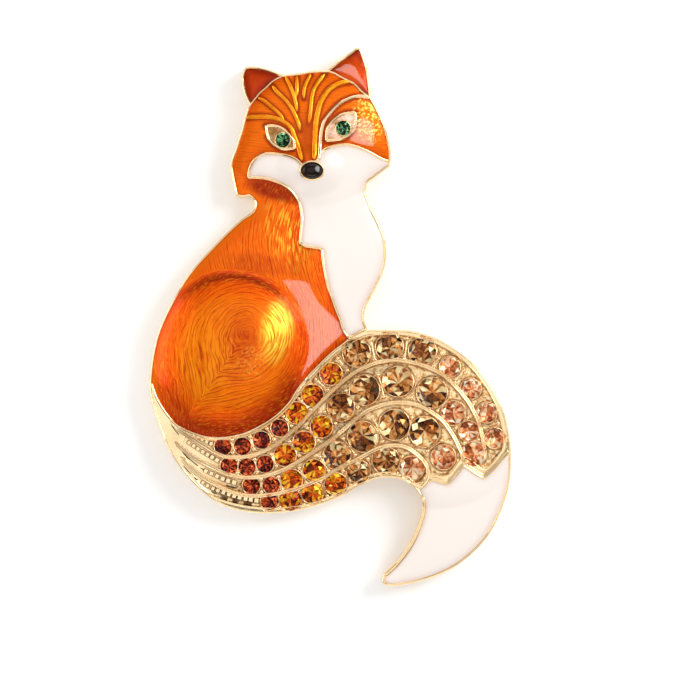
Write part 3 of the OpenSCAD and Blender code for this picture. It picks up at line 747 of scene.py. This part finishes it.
def eye_ring(points):
    """The frame of an eye as one closed line with two corners."""
    return np.vstack([smooth(points[:7])[:-1], smooth(points[6:] + points[:1])[:-1]])


def pillow(rise, reach):
    """Height over a cell: sunk at its edge, and swelling towards the middle."""
    def height(p, far):
        return relief(*p.T) + (rise * (1 - np.exp(-far / reach)) - SINK) * MM
    return height


def orange_height(p, far):
    """The orange enamel swells over its cell and is sunk inside the eyes."""
    height = pillow(0.16, 5)(p, far)
    for points in EYE_FRAMES:
        height = np.where(inside(p, eye_ring(points)), height - EYE_SINK * MM, height)
    return height


def no_share(p):
    return np.zeros(len(p))


def ellipse_share(cx, cy, half_w, half_h, turn=0.0, most=1.0, hard=1.0):
    """A share that is highest inside an ellipse and runs out at its edge."""
    def share(p):
        return np.clip((1 - ellipse(p, cx, cy, half_w, half_h, turn)) * hard, 0, 1) * most
    return share


def any_share(*rules):
    """The highest of several shares."""
    def share(p):
        return np.maximum.reduce([rule(p) for rule in rules])
    return share


def patch_share(p, curves):
    """A share that is 1 inside a closed patch, with a soft edge."""
    return np.clip(0.5 + inner_distance(p, joined(curves)) / GLEAM_EDGE, 0, 1)


def low_band_and_shade_share(p):
    """Darker red along the lower wall of the thigh, and painted shade below the cheek and over the thigh."""
    x, y = p.T
    low = np.clip(1.45 - line_distance(p, BODY) / 17, 0, 1) * rising(318 - x, 0, 25)
    low = low * rising(y, 345, 40) * rising(x, 152, 36)
    # Painted shadow under the cheek, and painted shade above the thigh
    shadow_below_cheek = ellipse_share(275, 190, 36, 13, 15, 1.0, 2.2)
    shade_over_thigh = ellipse_share(262, 265, 46, 13, 8, 0.4, 2.0)
    return np.maximum(low, any_share(shadow_below_cheek, shade_over_thigh)(p))


def calm_share(p):
    """Strokes are strong on neck and thigh, faint on the face, and run out before the outline."""
    outer = np.clip((edge_distance(p, OUTLINE) - 4) / 8, 0.15, 1)
    outer = outer * (1 - 0.6 * np.exp(-np.hypot(*(p - SWIRL[0]).T) ** 2 / 420))
    return 0.45 + (outer - 0.45) * rising(p[:, 1], 178, 12)


def gleam_share(p):
    """Where the lamp is mirrored: a crescent beside the thigh, a patch on the cheek."""
    x, y = p.T
    share = np.maximum(patch_share(p, GLEAM_THIGH), patch_share(p, GLEAM_CHEEK))
    return share * (0.72 + 0.28 * rising(x, 295, 35) + 0.15 * rising(y, 345, 20))


def ear_gleam(p):
    return patch_share(p, GLEAM_EAR) * 0.55


def wire_shade_share(p):
    """Painted shade: dark lines in the enamel beside the wires, the brow and the eye frames."""
    lines = WIRES + [(points, 3) for points in (BROW, *EYE_FRAMES)]
    near = np.min([line_distance(p, smooth(points)) - width / 2 for points, width in lines], 0)
    return np.clip(1 - np.clip(near - 1.2, 0, 9) / 2.6, 0, 1) * 0.9


def stroke_place(p):
    """Places for the engraved strokes (z across them): loops on the thigh, hair along neck and face."""
    x, y = p.T
    (mid_x, mid_y), (end_x, end_y) = SWIRL
    away = np.hypot(x - mid_x, y - mid_y)
    turn = np.arctan2(y - mid_y, x - mid_x) - math.atan2(end_y - mid_y, end_x - mid_x)
    wave = np.sin(3 * turn + away * 0.16) + 0.5 * np.sin(7 * turn - away * 0.3)
    across = away * (1 + np.abs(np.sin(turn / 2)) ** 0.5)
    loops = np.stack([(x - mid_x) * 0.05, (y - mid_y) * 0.05, across * 0.2 + wave * 0.36], 1)
    lean = np.radians(62 + 30 * rising(y, 200, 100))
    long_way = (x - 300) * np.cos(lean) - (y - 200) * np.sin(lean)
    cross_way = (x - 300) * np.sin(lean) + (y - 200) * np.cos(lean)
    hair = np.stack([long_way * 0.05, 0 * x, cross_way * 0.38], 1)
    face = np.stack([x * 0.10, 0 * x + 5, y * 0.42], 1)
    inner = (ellipse(p, *THIGH) < 1)[:, None]
    return np.where(inner, loops, np.where((y < 182)[:, None], face, hair))


def ring_share(p):
    """The dark ring inside the thigh's upper edge, which fades towards its left side."""
    x, y = p.T
    turn = np.degrees(np.arctan2(y - THIGH[1], x - THIGH[0]))
    upper = np.clip(1.25 - np.abs(turn + 80) / 75, 0, 1)
    return np.exp(-((ellipse_share(*THIGH)(p) - 0.09) / 0.055) ** 2) * upper


# Middle of the loops of strokes on the thigh, and the end where they come to a point
SWIRL = [(247, 333), (182, 425)]

GLEAM_THIGH = [
    [(282, 280.5), (293, 280), (303, 281), (309, 284)],
    [(309, 284), (313, 293), (320, 304), (331, 315), (341, 325), (345, 331)],
    [(345, 331), (332, 343), (318, 357), (306, 371), (299, 379)],
    [(299, 379), (306.5, 362), (309, 345), (307, 328), (301, 310), (293, 295), (282, 280.5)],
]
GLEAM_CHEEK = [
    [(356, 121), (364, 119), (372, 124), (374, 134), (373, 146)],
    [(373, 146), (364, 145), (356, 143), (349, 140)],
    [(349, 140), (353, 135), (356, 129), (356, 121)],
]
GLEAM_EAR = [
    [(332, 70), (341, 64.5), (352, 64.5), (358, 72), (367, 91)],
    [(367, 91), (360, 83), (353, 77), (344, 73), (332, 70)],
]

BIB = joined(BIB_LINE)
TIP = joined(TIP_LINE)
EAR_LEFT, EAR_RIGHT = smooth(EAR_LINE_LEFT), smooth(EAR_LINE_RIGHT)
CHEEK_LEFT, CHEEK_RIGHT = smooth(CHEEK_LINE_LEFT), smooth(CHEEK_LINE_RIGHT)
FOOT, BODY = smooth(BIB_FOOT), smooth(BODY_LINE)

orange_ring = np.vstack([
    along((283, 75), (327, 70.5)), EAR_RIGHT, along((371, 97), (390.5, 160)), CHEEK_RIGHT[::-1],
    CHEEK_LEFT[::-1], BIB[1:], BODY, along((150, 385), (248, 107)), EAR_LEFT[::-1]])
bib_ring = np.vstack([
    CHEEK_LEFT, CHEEK_RIGHT, along((390.5, 163), (368, 330)), FOOT[::-1], BIB[::-1][1:-1]])
ear_left_ring = np.vstack([along((248, 107), (283, 75)), EAR_LEFT])
ear_right_ring = np.vstack([along((327, 70.5), (371, 97)), EAR_RIGHT[::-1]])
tip_ring = np.vstack([along((511, 452), (421, 490)), TIP])
tail_ring = np.vstack([
    BODY[::-1], FOOT, along((368, 330), (511, 450)), TIP[::-1], along((421, 492), (150, 383))])

orange = sheet("orange_enamel", orange_ring, 1.9, orange_height, ORANGE, "orange_enamel", {
    "thigh": ellipse_share(*THIGH), "stroke": stroke_place, "calm": calm_share, "gleam": gleam_share,
    "line": wire_shade_share,
    # Painted highlight on the thigh's right side
    "painted_flash": ellipse_share(277, 331, 19, 38, 8, 1.0, 1.7),
    "dusk": ellipse_share(238, 345, 26, 46, 12, 1.0, 1.6),
    "glow": ellipse_share(207, 362, 34, 62, 8, 0.75, 1.6),
    "low": low_band_and_shade_share,
    # Painted glints on the strokes of the neck
    "glint_streak": ellipse_share(288, 236, 26, 44, -30, 0.75, 1.6),
    "ring": ring_share,
    # Painted glints on the right cheek and in the thigh
    "painted_glint": any_share(ellipse_share(367, 120, 17, 28, -12, 0.95, 2.5),
                       ellipse_share(252, 362, 17, 22, 20, 0.28, 2.0)),
    "bridge": ellipse_share(308, 136, 12, 34, 0, 1.0, 1.5)})
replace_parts(orange, "head_enamel", "body_enamel")
bib = sheet("bib_enamel_top", bib_ring, 2.2, pillow(0.14, 5), WHITE, "white_enamel")
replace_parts(bib, "bib_enamel")
ear_left = sheet("ear_left_enamel_top", ear_left_ring, 1.8, pillow(0.14, 4), RED, "red_enamel", {
    "gleam": no_share, "warm": no_share})
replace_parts(ear_left, "ear_left_enamel")
ear_right = sheet("ear_right_enamel_top", ear_right_ring, 1.8, pillow(0.14, 4), RED, "red_enamel", {
    "gleam": ear_gleam, "warm": ellipse_share(350, 78, 20, 26, 0, 0.6, 1.5)})
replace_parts(ear_right, "ear_right_enamel")
tip = sheet("tail_tip_enamel_top", tip_ring, 2.2, pillow(0.16, 6), WHITE, "white_enamel")
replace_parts(tip, "tail_tip_enamel")

# Profile of the nose: a share of its half width and half height, and mm up
NOSE_ARC = [
    (1.0, -0.35), (1.0, 0.0), (0.94, 0.16), (0.8, 0.3), (0.6, 0.41), (0.35, 0.48), (0.12, 0.5), (0.01, 0.5)]
nose = Build()
nose.turned(NOSE[0], NOSE[1], NOSE_ARC, 40, 0.1, (NOSE[2] * BEAD_MM, NOSE[3] * BEAD_MM))
spots = np.array(nose.points)
spots = np.column_stack([spots[:, 0] / UNIT_X + MID_X, MID_Y - spots[:, 1] / UNIT_Y])
nose_gleam = np.clip(2 - 2 * ellipse(spots, 317.5, 169.5, 2.6, 4.2), 0, 1)
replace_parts(nose.object("nose_enamel_top", BLACK, "black_enamel", {"gleam": nose_gleam}), "nose_enamel")


# Casting: outer wall with its rim, and the back with its hollow

# The rim from the foot up: inset in mm, and mm above the relief, or above the floor for the wall's foot
WALL = [(0.14, 0.0), (0.03, 0.06), (0.0, 0.22)]
RIM_PROFILE = [
    (0.0, -0.2), (0.02, -0.06), (0.07, 0.03), (0.14, 0.07), (0.21, 0.05), (0.26, -0.02), (0.28, -0.12),
    (0.28, -0.5)]
# The back: width of its flat skirt in grid units, thickness of the shell, height of its hollow
SKIRT = 12.7
SHELL = 1.8 * MM
HOLLOW = 3.4 * MM
# Pads of the pin's two end blocks: height, half width and places
PAD = 1.7 * MM
PAD_HALF = 20
PIN_PADS = [(296, 312 - 142), (296, 312 + 142)]
# Depth of the plate below the enamels
BED = 1.05 * MM

casting = Build()
ring_xy = np.stack(at(*OUTLINE.T), 1)
ring_in = np.stack([INWARD[:, 0], -INWARD[:, 1]], 1)
ring_z = relief(*RIM.T)
levels = [(inset, np.full(len(ring_z), up * MM)) for inset, up in WALL]
levels += [(inset, ring_z + up * MM) for inset, up in RIM_PROFILE]
rows = [np.column_stack([ring_xy + ring_in * inset * MM, z]) for inset, z in levels]
casting.add(np.stack(rows, 1).reshape(-1, 3), strip_faces(len(ring_xy), len(rows), True))

flat, faces, far = filled(OUTLINE + INWARD * 2.4, 3.4)
casting.add(np.column_stack([*at(*flat.T), relief(*flat.T) - BED]), faces)
flat, faces, far = filled(OUTLINE + INWARD * 1.3, 2.3)
roof = np.minimum(relief(*flat.T) - SHELL, HOLLOW)
for pad in PIN_PADS:
    roof = np.where(np.abs(flat - pad).max(1) < PAD_HALF, PAD, roof)
open_share = np.clip((far - SKIRT) / 3, 0, 1)
casting.add(np.column_stack([*at(*flat.T), np.maximum(roof, 0) * open_share]), flipped(faces))
casting.faces = flipped(casting.faces)
shell = casting.object("casting", PALE_GOLD, "gold_plate")
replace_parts(shell, "gold_body")


# Tail floor: a smooth border round the sunk field of the stones

# Edge of the stone field: its upper side, its right end, and its lower side
CHANNEL = [
    [(186, 434), (195, 437), (205, 439), (218, 439.2), (230, 438.8), (242, 436.8), (252, 433.5),
     (262, 428.5), (272, 422), (281, 415), (289, 407), (296, 398), (303, 389), (311, 379.5), (319, 371),
     (328, 362), (338, 353), (350, 344), (364, 337), (380, 334.5), (398, 334.5), (416, 337), (434, 342.5),
     (452, 352), (468, 364.5), (483, 382), (494, 401), (501, 422), (504, 440), (503, 449)],
    [(503, 449), (484.5, 468), (464, 457), (447, 475), (430, 474), (424, 480)],
    [(424, 480), (416, 483), (408, 477), (398, 473.5), (385, 472), (372, 474.5), (358, 481), (340, 491.5),
     (325, 498.5), (308, 504), (290, 507), (270, 508), (250, 506.5), (232, 503), (215, 497), (205, 491),
     (196, 480), (188, 464), (182, 448), (186, 434)],
]
# The border's height above the relief, and the depth of the field, in mm
BORDER = 0.03
FIELD_DEPTH = 0.30
# Depth of the holes below the stones in mm
STONE_HOLE = 0.7

channel_ring = np.vstack([smooth(CHANNEL[0]), smooth(CHANNEL[1]), smooth(CHANNEL[2])[:-1]])
flat, faces, far = filled(tail_ring, 1.5)
sunk = 1 / (1 + np.exp(-(inner_distance(flat, channel_ring) - 0.8) * 2.2))
hammer = np.sin(flat[:, 0] * 1.9) * np.sin(flat[:, 1] * 2.1)
under, crease_shade = np.zeros(len(flat)), np.zeros(len(flat))
# Painted shade: a dark band beside each ridge, round each stone and along the bands of bosses
for line in RIDGES:
    crease_shade = np.maximum(crease_shade, 1 - np.abs(line_distance(flat, smooth(line)) - 2.6) / 1.5)
for x, y, kind in [stone for row in ROWS for stone in row]:
    away = np.hypot(*(flat - (x, y)).T)
    under[away < half_width(kind) + 0.3] = 1
    crease_shade = np.maximum(crease_shade, 1 - np.abs(away - half_width(kind) - 1.9) / 1.3)
crease_shade = np.clip(crease_shade, 0, 1) * np.clip(sunk, 0, 1) * np.clip((flat[:, 0] - 196) / 30, 0.25, 1)
for points, size in BANDS:
    near = line_distance(flat, smooth(points))
    crease_shade = np.maximum(crease_shade, 0.4 * np.clip(size / 2 + 0.6 - near, 0, 1))
depth = FIELD_DEPTH * sunk * left_calm(flat[:, 0])
z = relief(*flat.T) + (BORDER - depth + 0.012 * hammer * sunk - STONE_HOLE * under) * MM
mesh_object("tail_floor", np.column_stack([*at(*flat.T), z]), flipped(faces), FLOOR_GOLD, "gold_plate", True,
            {"sunk": sunk * rising(flat[:, 0], 203, 26), "crease_shade": crease_shade})


# Walls, ridges, frames and wires

# Depth of the foot of a bead below the relief, in mm
ROOT = 0.4


def bead_profile(width, rise):
    """A round bead, by its width in grid units and its rise in mm."""
    half = width * BEAD_MM / 2
    arc = [(math.cos(t), math.sin(t)) for t in np.linspace(0, math.pi, 9)]
    return [(half, -ROOT)] + [(half * c, rise * s) for c, s in arc] + [(-half, -ROOT)]


def double_profile(width, rise, groove):
    """Two thin beads side by side with a groove between them."""
    half = width * BEAD_MM / 2
    right = [(1.0, 0.0), (0.94, 0.6), (0.75, 0.95), (0.5, 1.0), (0.25, 0.8)]
    shape = right + [(0.0, groove / rise)] + [(-a, u) for a, u in reversed(right)]
    return [(half, -ROOT)] + [(half * a, rise * u) for a, u in shape] + [(-half, -ROOT)]


walls = Build()
for line, width in ((EAR_LEFT, 2.0), (EAR_RIGHT, 2.2), (CHEEK_LEFT, 2.4), (CHEEK_RIGHT, 2.6), (BIB, 2.8),
                    (BODY, 2.4), (FOOT, 2.6)):
    walls.sweep(line, bead_profile(width, 0.1), lift=0.04)
walls.sweep(TIP, double_profile(5.0, 0.12, 0.02), lift=0.04)
for line in RIDGES:
    walls.sweep(smooth(line), double_profile(4.4, 0.17, 0.02), ends=6, lift=0.06, calmed=True)
walls.sweep(channel_ring, bead_profile(1.6, 0.09), True, lift=0.02, calmed=True)
inner_edge = along((384, 577), (421, 497))
walls.sweep(inner_edge + normals(inner_edge, False) * 0.9, bead_profile(3.6, 0.10), ends=5, lift=0.04)
walls.sweep(smooth(BROW), bead_profile(3.5, 0.14), lift=0.10)
for points in EYE_FRAMES:
    walls.sweep(eye_ring(points), bead_profile(3.3, 0.18), True, lift=0.10)
ring = np.array([(NOSE[0] + (NOSE[2] + 1.0) * math.cos(t), NOSE[1] + (NOSE[3] + 1.0) * math.sin(t))
                 for t in np.linspace(0, 2 * math.pi, 60, endpoint=False)])
walls.sweep(ring, bead_profile(2.6, 0.16), True, lift=0.08)
walls.object("gold_walls", PALE_GOLD, "gold_plate")

wires = Build()
for points, width in WIRES:
    wires.sweep(smooth(points), bead_profile(width + 1.6, 0.11), ends=9, lift=0.11)
wires.object("forehead_wires", WIRE_GOLD, "orange_enamel")


def eye_bed(stone):
    """Height of an eye's floor, sunk below its stone."""
    def height(p, far):
        under = np.hypot(*(p - stone).T) < 7.6
        return relief(*p.T) + np.where(under, -0.35, 0.13) * MM
    return height


for k, points in enumerate(EYE_FRAMES):
    sheet(f"eye_floor_{k + 1}", eye_ring(points), 1.3, eye_bed(EYES[k][:2]), EYE_FLOORS[k], "gold_plate",
          None, 0.6 * MM)


# Stones, each in its cup, with bars and beads between them

# Facets round the girdle and in the crown round the table, and the share of these made opaque with painted
# flashes
SECTORS = 16
UPPER = 40
PAINTED_FLASHES = 0.16


def stone_shape(d):
    """Points and faces of a round cut stone: table, stars, kites and girdle above, rays below."""
    rays = [45 * (k // 2) + (29 if k % 2 else 0) + rng.uniform(-4, 4) for k in range(SECTORS)]
    table = [(0.27 * d, (k + 0.5) * 45, 0.245 * d) for k in range(8)]
    middle = [(0.405 * d, k * 45, 0.165 * d) for k in range(8)]
    girdle = [(0.5 * d, k * 22.5, 0.06 * d) for k in range(SECTORS)]
    foot = [(0.5 * d, k * 22.5, 0.0) for k in range(SECTORS)]
    keel = [(rng.uniform(0.31, 0.40) * d, rays[k] + 8, -0.05 * d) for k in range(SECTORS)]
    deep = [(rng.uniform(0.14, 0.24) * d, rays[k] + 2, -0.09 * d) for k in range(SECTORS)]
    rings = [table, middle, girdle, foot, keel, deep]
    points = [(r * math.cos(math.radians(a)), r * math.sin(math.radians(a)), h)
              for ring in rings for r, a, h in ring]
    points.append((rng.uniform(-0.05, 0.05) * d, rng.uniform(-0.05, 0.05) * d, -0.12 * d))
    t, m, g, f, b, e, lowest = 0, 8, 16, 32, 48, 64, 80
    crown = [tuple(range(8))]
    for k in range(8):
        j = (k + 1) % 8
        side, corner = g + 2 * k, g + 2 * k + 1
        crown += [(t + (k - 1) % 8, m + k, t + k), (m + k, side, corner), (m + k, corner, m + j),
                  (m + j, corner, g + (2 * k + 2) % SECTORS), (t + k, m + k, m + j)]
    around = [(k, (k + 1) % SECTORS) for k in range(SECTORS)]
    crown += [(g + k, f + k, f + j, g + j) for k, j in around]
    back = []
    for k, j in around:
        back += [(f + k, b + k, f + j), (f + j, b + k, b + j), (b + k, e + k, e + j),
                 (b + k, e + j, b + j), (e + k, lowest, e + j)]
    return points, crown, back


# Tones of each kind of stone, from deep to bright, for the painted reflections and highlights of its facets
STONE_LOOKS = {
    "dark_red_crystal": [(0.012, 0.001, 0.001), (0.08, 0.004, 0.002), (0.24, 0.016, 0.003),
        (0.48, 0.05, 0.008), (0.95, 0.16, 0.03)],
    "orange_crystal": [(0.07, 0.006, 0.001), (0.4, 0.034, 0.001), (0.8, 0.105, 0.001), (1.0, 0.25, 0.003),
        (1.0, 0.66, 0.03)],
    "champagne_crystal": [(0.03, 0.006, 0.001), (0.22, 0.055, 0.01), (0.6, 0.2, 0.04), (0.95, 0.46, 0.13),
        (1.0, 0.84, 0.44)],
    "peach_crystal": [(0.24, 0.045, 0.011), (0.62, 0.16, 0.04), (0.92, 0.32, 0.11), (1.0, 0.55, 0.25),
        (1.0, 0.87, 0.6)],
    "green_crystal": [(0.002, 0.003, 0.001), (0.005, 0.014, 0.004), (0.014, 0.048, 0.012),
        (0.03, 0.16, 0.04), (0.25, 0.64, 0.28)],
}
# The look of its clear facets, and of the foil below them, which also gives a few facets above their painted
# flashes
LOOKS = {slot: (cut_glass(slot, tones, 0.14, 0.9, 0.05), cut_glass(slot + "_foil_and_flash", tones, 1.0, 0.35, 0.25))
         for slot, tones in STONE_LOOKS.items()}


def painted_facet_tones():
    """A tone for each facet, as painted reflected light: table, crown and girdle, then the rays below, with
    painted light on one side.
    """
    side = rng.uniform(0, 2 * math.pi)
    tones = [rng.uniform(0.3, 0.5)] + [rng.choice((0.0, 0.2, 0.5, 0.8, 1.0)) for _ in range(UPPER)]
    tones += [0.0] * SECTORS
    for k in range(SECTORS):
        # Painted light: the rays are lighter on one side of the stone
        light = 0.30 * math.cos(k * math.pi / 8 - side)
        ray = rng.choice((0.0, 0.05, 0.2)) if k % 2 else rng.choice((0.3, 0.45, 0.6, 0.8))
        for _ in range(5):
            tones.append(ray + light + rng.choice((-0.35, -0.15, 0.0, 0.15, 0.45)))
    return [min(1, max(0, v)) for v in tones]


def set_stone(name, x, y, kind, turn, lift=0.0):
    """A cut stone on the relief: clear facets above, a few of them opaque with painted flashes, and foil
    below.
    """
    d, slot = STONE_KINDS[kind]
    points, crown, back = stone_shape(d)
    place = stand(x, y, lift, True, turn)
    clear, foil_and_flashes = LOOKS[slot]
    obj = mesh_object(name, [place(*p) for p in points], crown + back, clear, slot, False)
    obj.data.materials.append(foil_and_flashes)
    tones = painted_facet_tones()
    for k in range(1, UPPER + 1):
        # Painted flashes: a few crown facets get the opaque foil look in a tone of their own
        if rng.random() < PAINTED_FLASHES:
            obj.data.polygons[k].material_index = 1
            tones[k] = rng.choice((0.15, 0.6, 0.95, 1.0))
    for k in range(len(crown), len(crown) + len(back)):
        obj.data.polygons[k].material_index = 1
    layer = obj.data.attributes.new("facet", "FLOAT", "FACE")
    layer.data.foreach_set("value", tones)
    return obj


# Walls of the cups: mm outside the stone's edge, and mm above its girdle
CUP = [(0.14, -0.5), (0.13, -0.08), (0.10, 0.02), (0.06, 0.05), (0.015, 0.02), (-0.02, -0.1)]
EYE_CUP = [(0.1, 0.0), (0.1, 0.16), (0.04, 0.22), (0, 0.2), (-0.02, 0.1)]

cups = Build()
for r, row in enumerate(ROWS):
    for k, (x, y, kind) in enumerate(row):
        name = f"row{r + 1}_stone_{k + 1:02d}"
        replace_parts(set_stone(name + "_cut", x, y, kind, rng.uniform(0, math.pi / 4)), name)
        half = STONE_KINDS[kind][0] / 2
        cups.turned(x, y, [(half + out, h) for out, h in CUP] + [(half * 0.4, -0.5 - half * 0.3)], 24)
    # A bar across the row in each gap, with a bead at both its ends
    for (x0, y0, kind0), (x1, y1, kind1) in zip(row, row[1:]):
        # Short grooves between them, drawn dark as painted shade
        r0, r1 = half_width(kind0), half_width(kind1)
        gap = math.hypot(x1 - x0, y1 - y0)
        ux, uy = (x1 - x0) / gap, (y1 - y0) / gap
        t = (r0 + (gap - r0 - r1) / 2) / gap
        mx, my = x0 + (x1 - x0) * t, y0 + (y1 - y0) * t
        reach = min(r0, r1) * 0.80
        bar = np.array([(mx - uy * reach * q, my + ux * reach * q) for q in np.linspace(-1, 1, 9)])
        cups.sweep(bar, bead_profile(1.3, 0.06), lift=-0.06)
        for off in (-reach * 0.92, reach * 0.92):
            cups.ball(mx - uy * off, my + ux * off, 0.23, 0.02)
for k, (x, y, kind) in enumerate(EYES):
    name = ("eye_stone_left", "eye_stone_right")[k]
    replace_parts(set_stone(name + "_cut", x, y, kind, 0.3, 0.18), name)
    half = STONE_KINDS[kind][0] / 2
    cups.turned(x, y, [(half + out, h) for out, h in EYE_CUP] + [(half * 0.4, -0.3)], 20)
cups.object("stone_cups", PALE_GOLD, "gold_plate")


# Bosses and grooves at the left end of the tail, with painted shade in the grooves and round the bosses

# Depth of their feet, gap between the bosses in grid units, and how far the bosses and the dark blocks of
# painted shade round them stand out, in mm
BOSS_ROOT = 0.3
BOSS_GAP = 0.9
BOSS_RISE = 0.19
SHADE_RISE = 0.08
# Profile of a groove, and its lift in the field and on the border, in mm
GROOVE = [(0.045, -0.3), (0.045, 0.03), (-0.045, 0.03), (-0.045, -0.3)]
GROOVE_LIFTS = (0.16, 0.05)

bosses, grooves = Build(), Build()
for points, size in BANDS:
    line = smooth(points, 0.5)
    gone = lengths(line)
    for far in np.arange(1, gone[-1], size + BOSS_GAP):
        k = int(np.argmin(np.abs(gone - far)))
        ahead = line[min(k + 1, len(line) - 1)] - line[max(k - 1, 0)]
        side = size * BEAD_MM * (0.75 + 0.25 * far / gone[-1])
        level = BORDER - FIELD_DEPTH * left_calm(line[k][0])
        turn = math.atan2(-ahead[1], ahead[0])
        bosses.block(*line[k], turn, side, side, level - BOSS_ROOT, level + BOSS_RISE)
        # A dark block a little larger and lower than the boss: painted shade as a thin outline round it
        grooves.block(*line[k], turn, side + 0.09, side + 0.07, level - BOSS_ROOT, level + SHADE_RISE)
bosses.object("bosses", PALE_GOLD, "gold_plate", None, False)
for points in GROOVES:
    line = smooth(points)
    mid = line[len(line) // 2:][:1]
    deep = inner_distance(mid, channel_ring)[0] > 3
    level = GROOVE_LIFTS[0] - FIELD_DEPTH * left_calm(mid[0][0]) if deep else GROOVE_LIFTS[1]
    grooves.sweep(line, GROOVE, ends=2, lift=level)
grooves.object("grooves", SHADE_GOLD, "gold_plate", None, False)

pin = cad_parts["pin_fitting"]
pin.data.materials.clear()
pin.data.materials.append(PALE_GOLD)


# Floor, light and camera

def floor_material():
    s = Shader("floor_paper", roughness=0.6)
    s.use("Base Color", s.ramp(s.noise(30, 3), [(0.3, (0.93, 0.93, 0.93)), (0.7, (0.95, 0.95, 0.95))]))
    s.out.inputs["Emission Color"].default_value = (1, 1, 1, 1)
    s.out.inputs["Emission Strength"].default_value = 0.15
    return s.material


FLOOR_HALF = 1.5
corners = [(a * FLOOR_HALF, b * FLOOR_HALF, 0) for a, b in ((-1, -1), (1, -1), (1, 1), (-1, 1))]
mesh = bpy.data.meshes.new("floor")
mesh.from_pydata(corners, [], [(0, 1, 2, 3)])
mesh.materials.append(floor_material())
floor = linked("floor", mesh)


def softbox(name, place, width, height, power):
    """A soft lamp that is aimed at the middle of the part."""
    light = bpy.data.lights.new(name, "AREA")
    light.shape = "RECTANGLE"
    light.size, light.size_y = width, height
    light.energy = power
    obj = linked(name, light)
    obj.location = place
    obj.rotation_euler = (Vector((0, 0, 0)) - Vector(place)).to_track_quat("-Z", "Y").to_euler()


softbox("key", (0.30, 0.16, 0.30), 0.16, 0.22, 1.05)
softbox("top", (0.0, 0.0, 0.80), 0.80, 0.80, 1.95)
softbox("low_left", (-0.50, 0.05, 0.17), 0.50, 0.20, 1.35)
softbox("low_back", (0.05, 0.50, 0.18), 0.50, 0.20, 0.8)
softbox("low_front", (0.0, -0.50, 0.17), 0.50, 0.20, 0.8)
softbox("low_right", (0.52, -0.10, 0.14), 0.40, 0.16, 0.5)

world = bpy.data.worlds.new("studio")
world.use_nodes = True
world.node_tree.nodes["Background"].inputs["Color"].default_value = (1, 1, 1, 1)
world.node_tree.nodes["Background"].inputs["Strength"].default_value = 0.22
bpy.context.scene.world = world
bpy.context.scene.view_settings.view_transform = "Standard"

# The camera looks straight down on the middle of the picture, which fits at a height on the relief
CAMERA_HEIGHT = 0.55
FIT_HEIGHT = 4 * MM
SENSOR = 36
PICTURE = 680

cam_data = bpy.data.cameras.new("camera")
cam = linked("camera", cam_data)
cam.location = (*at(PICTURE / 2, PICTURE / 2), CAMERA_HEIGHT)
cam_data.sensor_width = SENSOR
cam_data.lens = SENSOR * (CAMERA_HEIGHT - FIT_HEIGHT) / (PICTURE * UNIT_X)
cam_data.clip_start = 0.01
bpy.context.scene.camera = cam
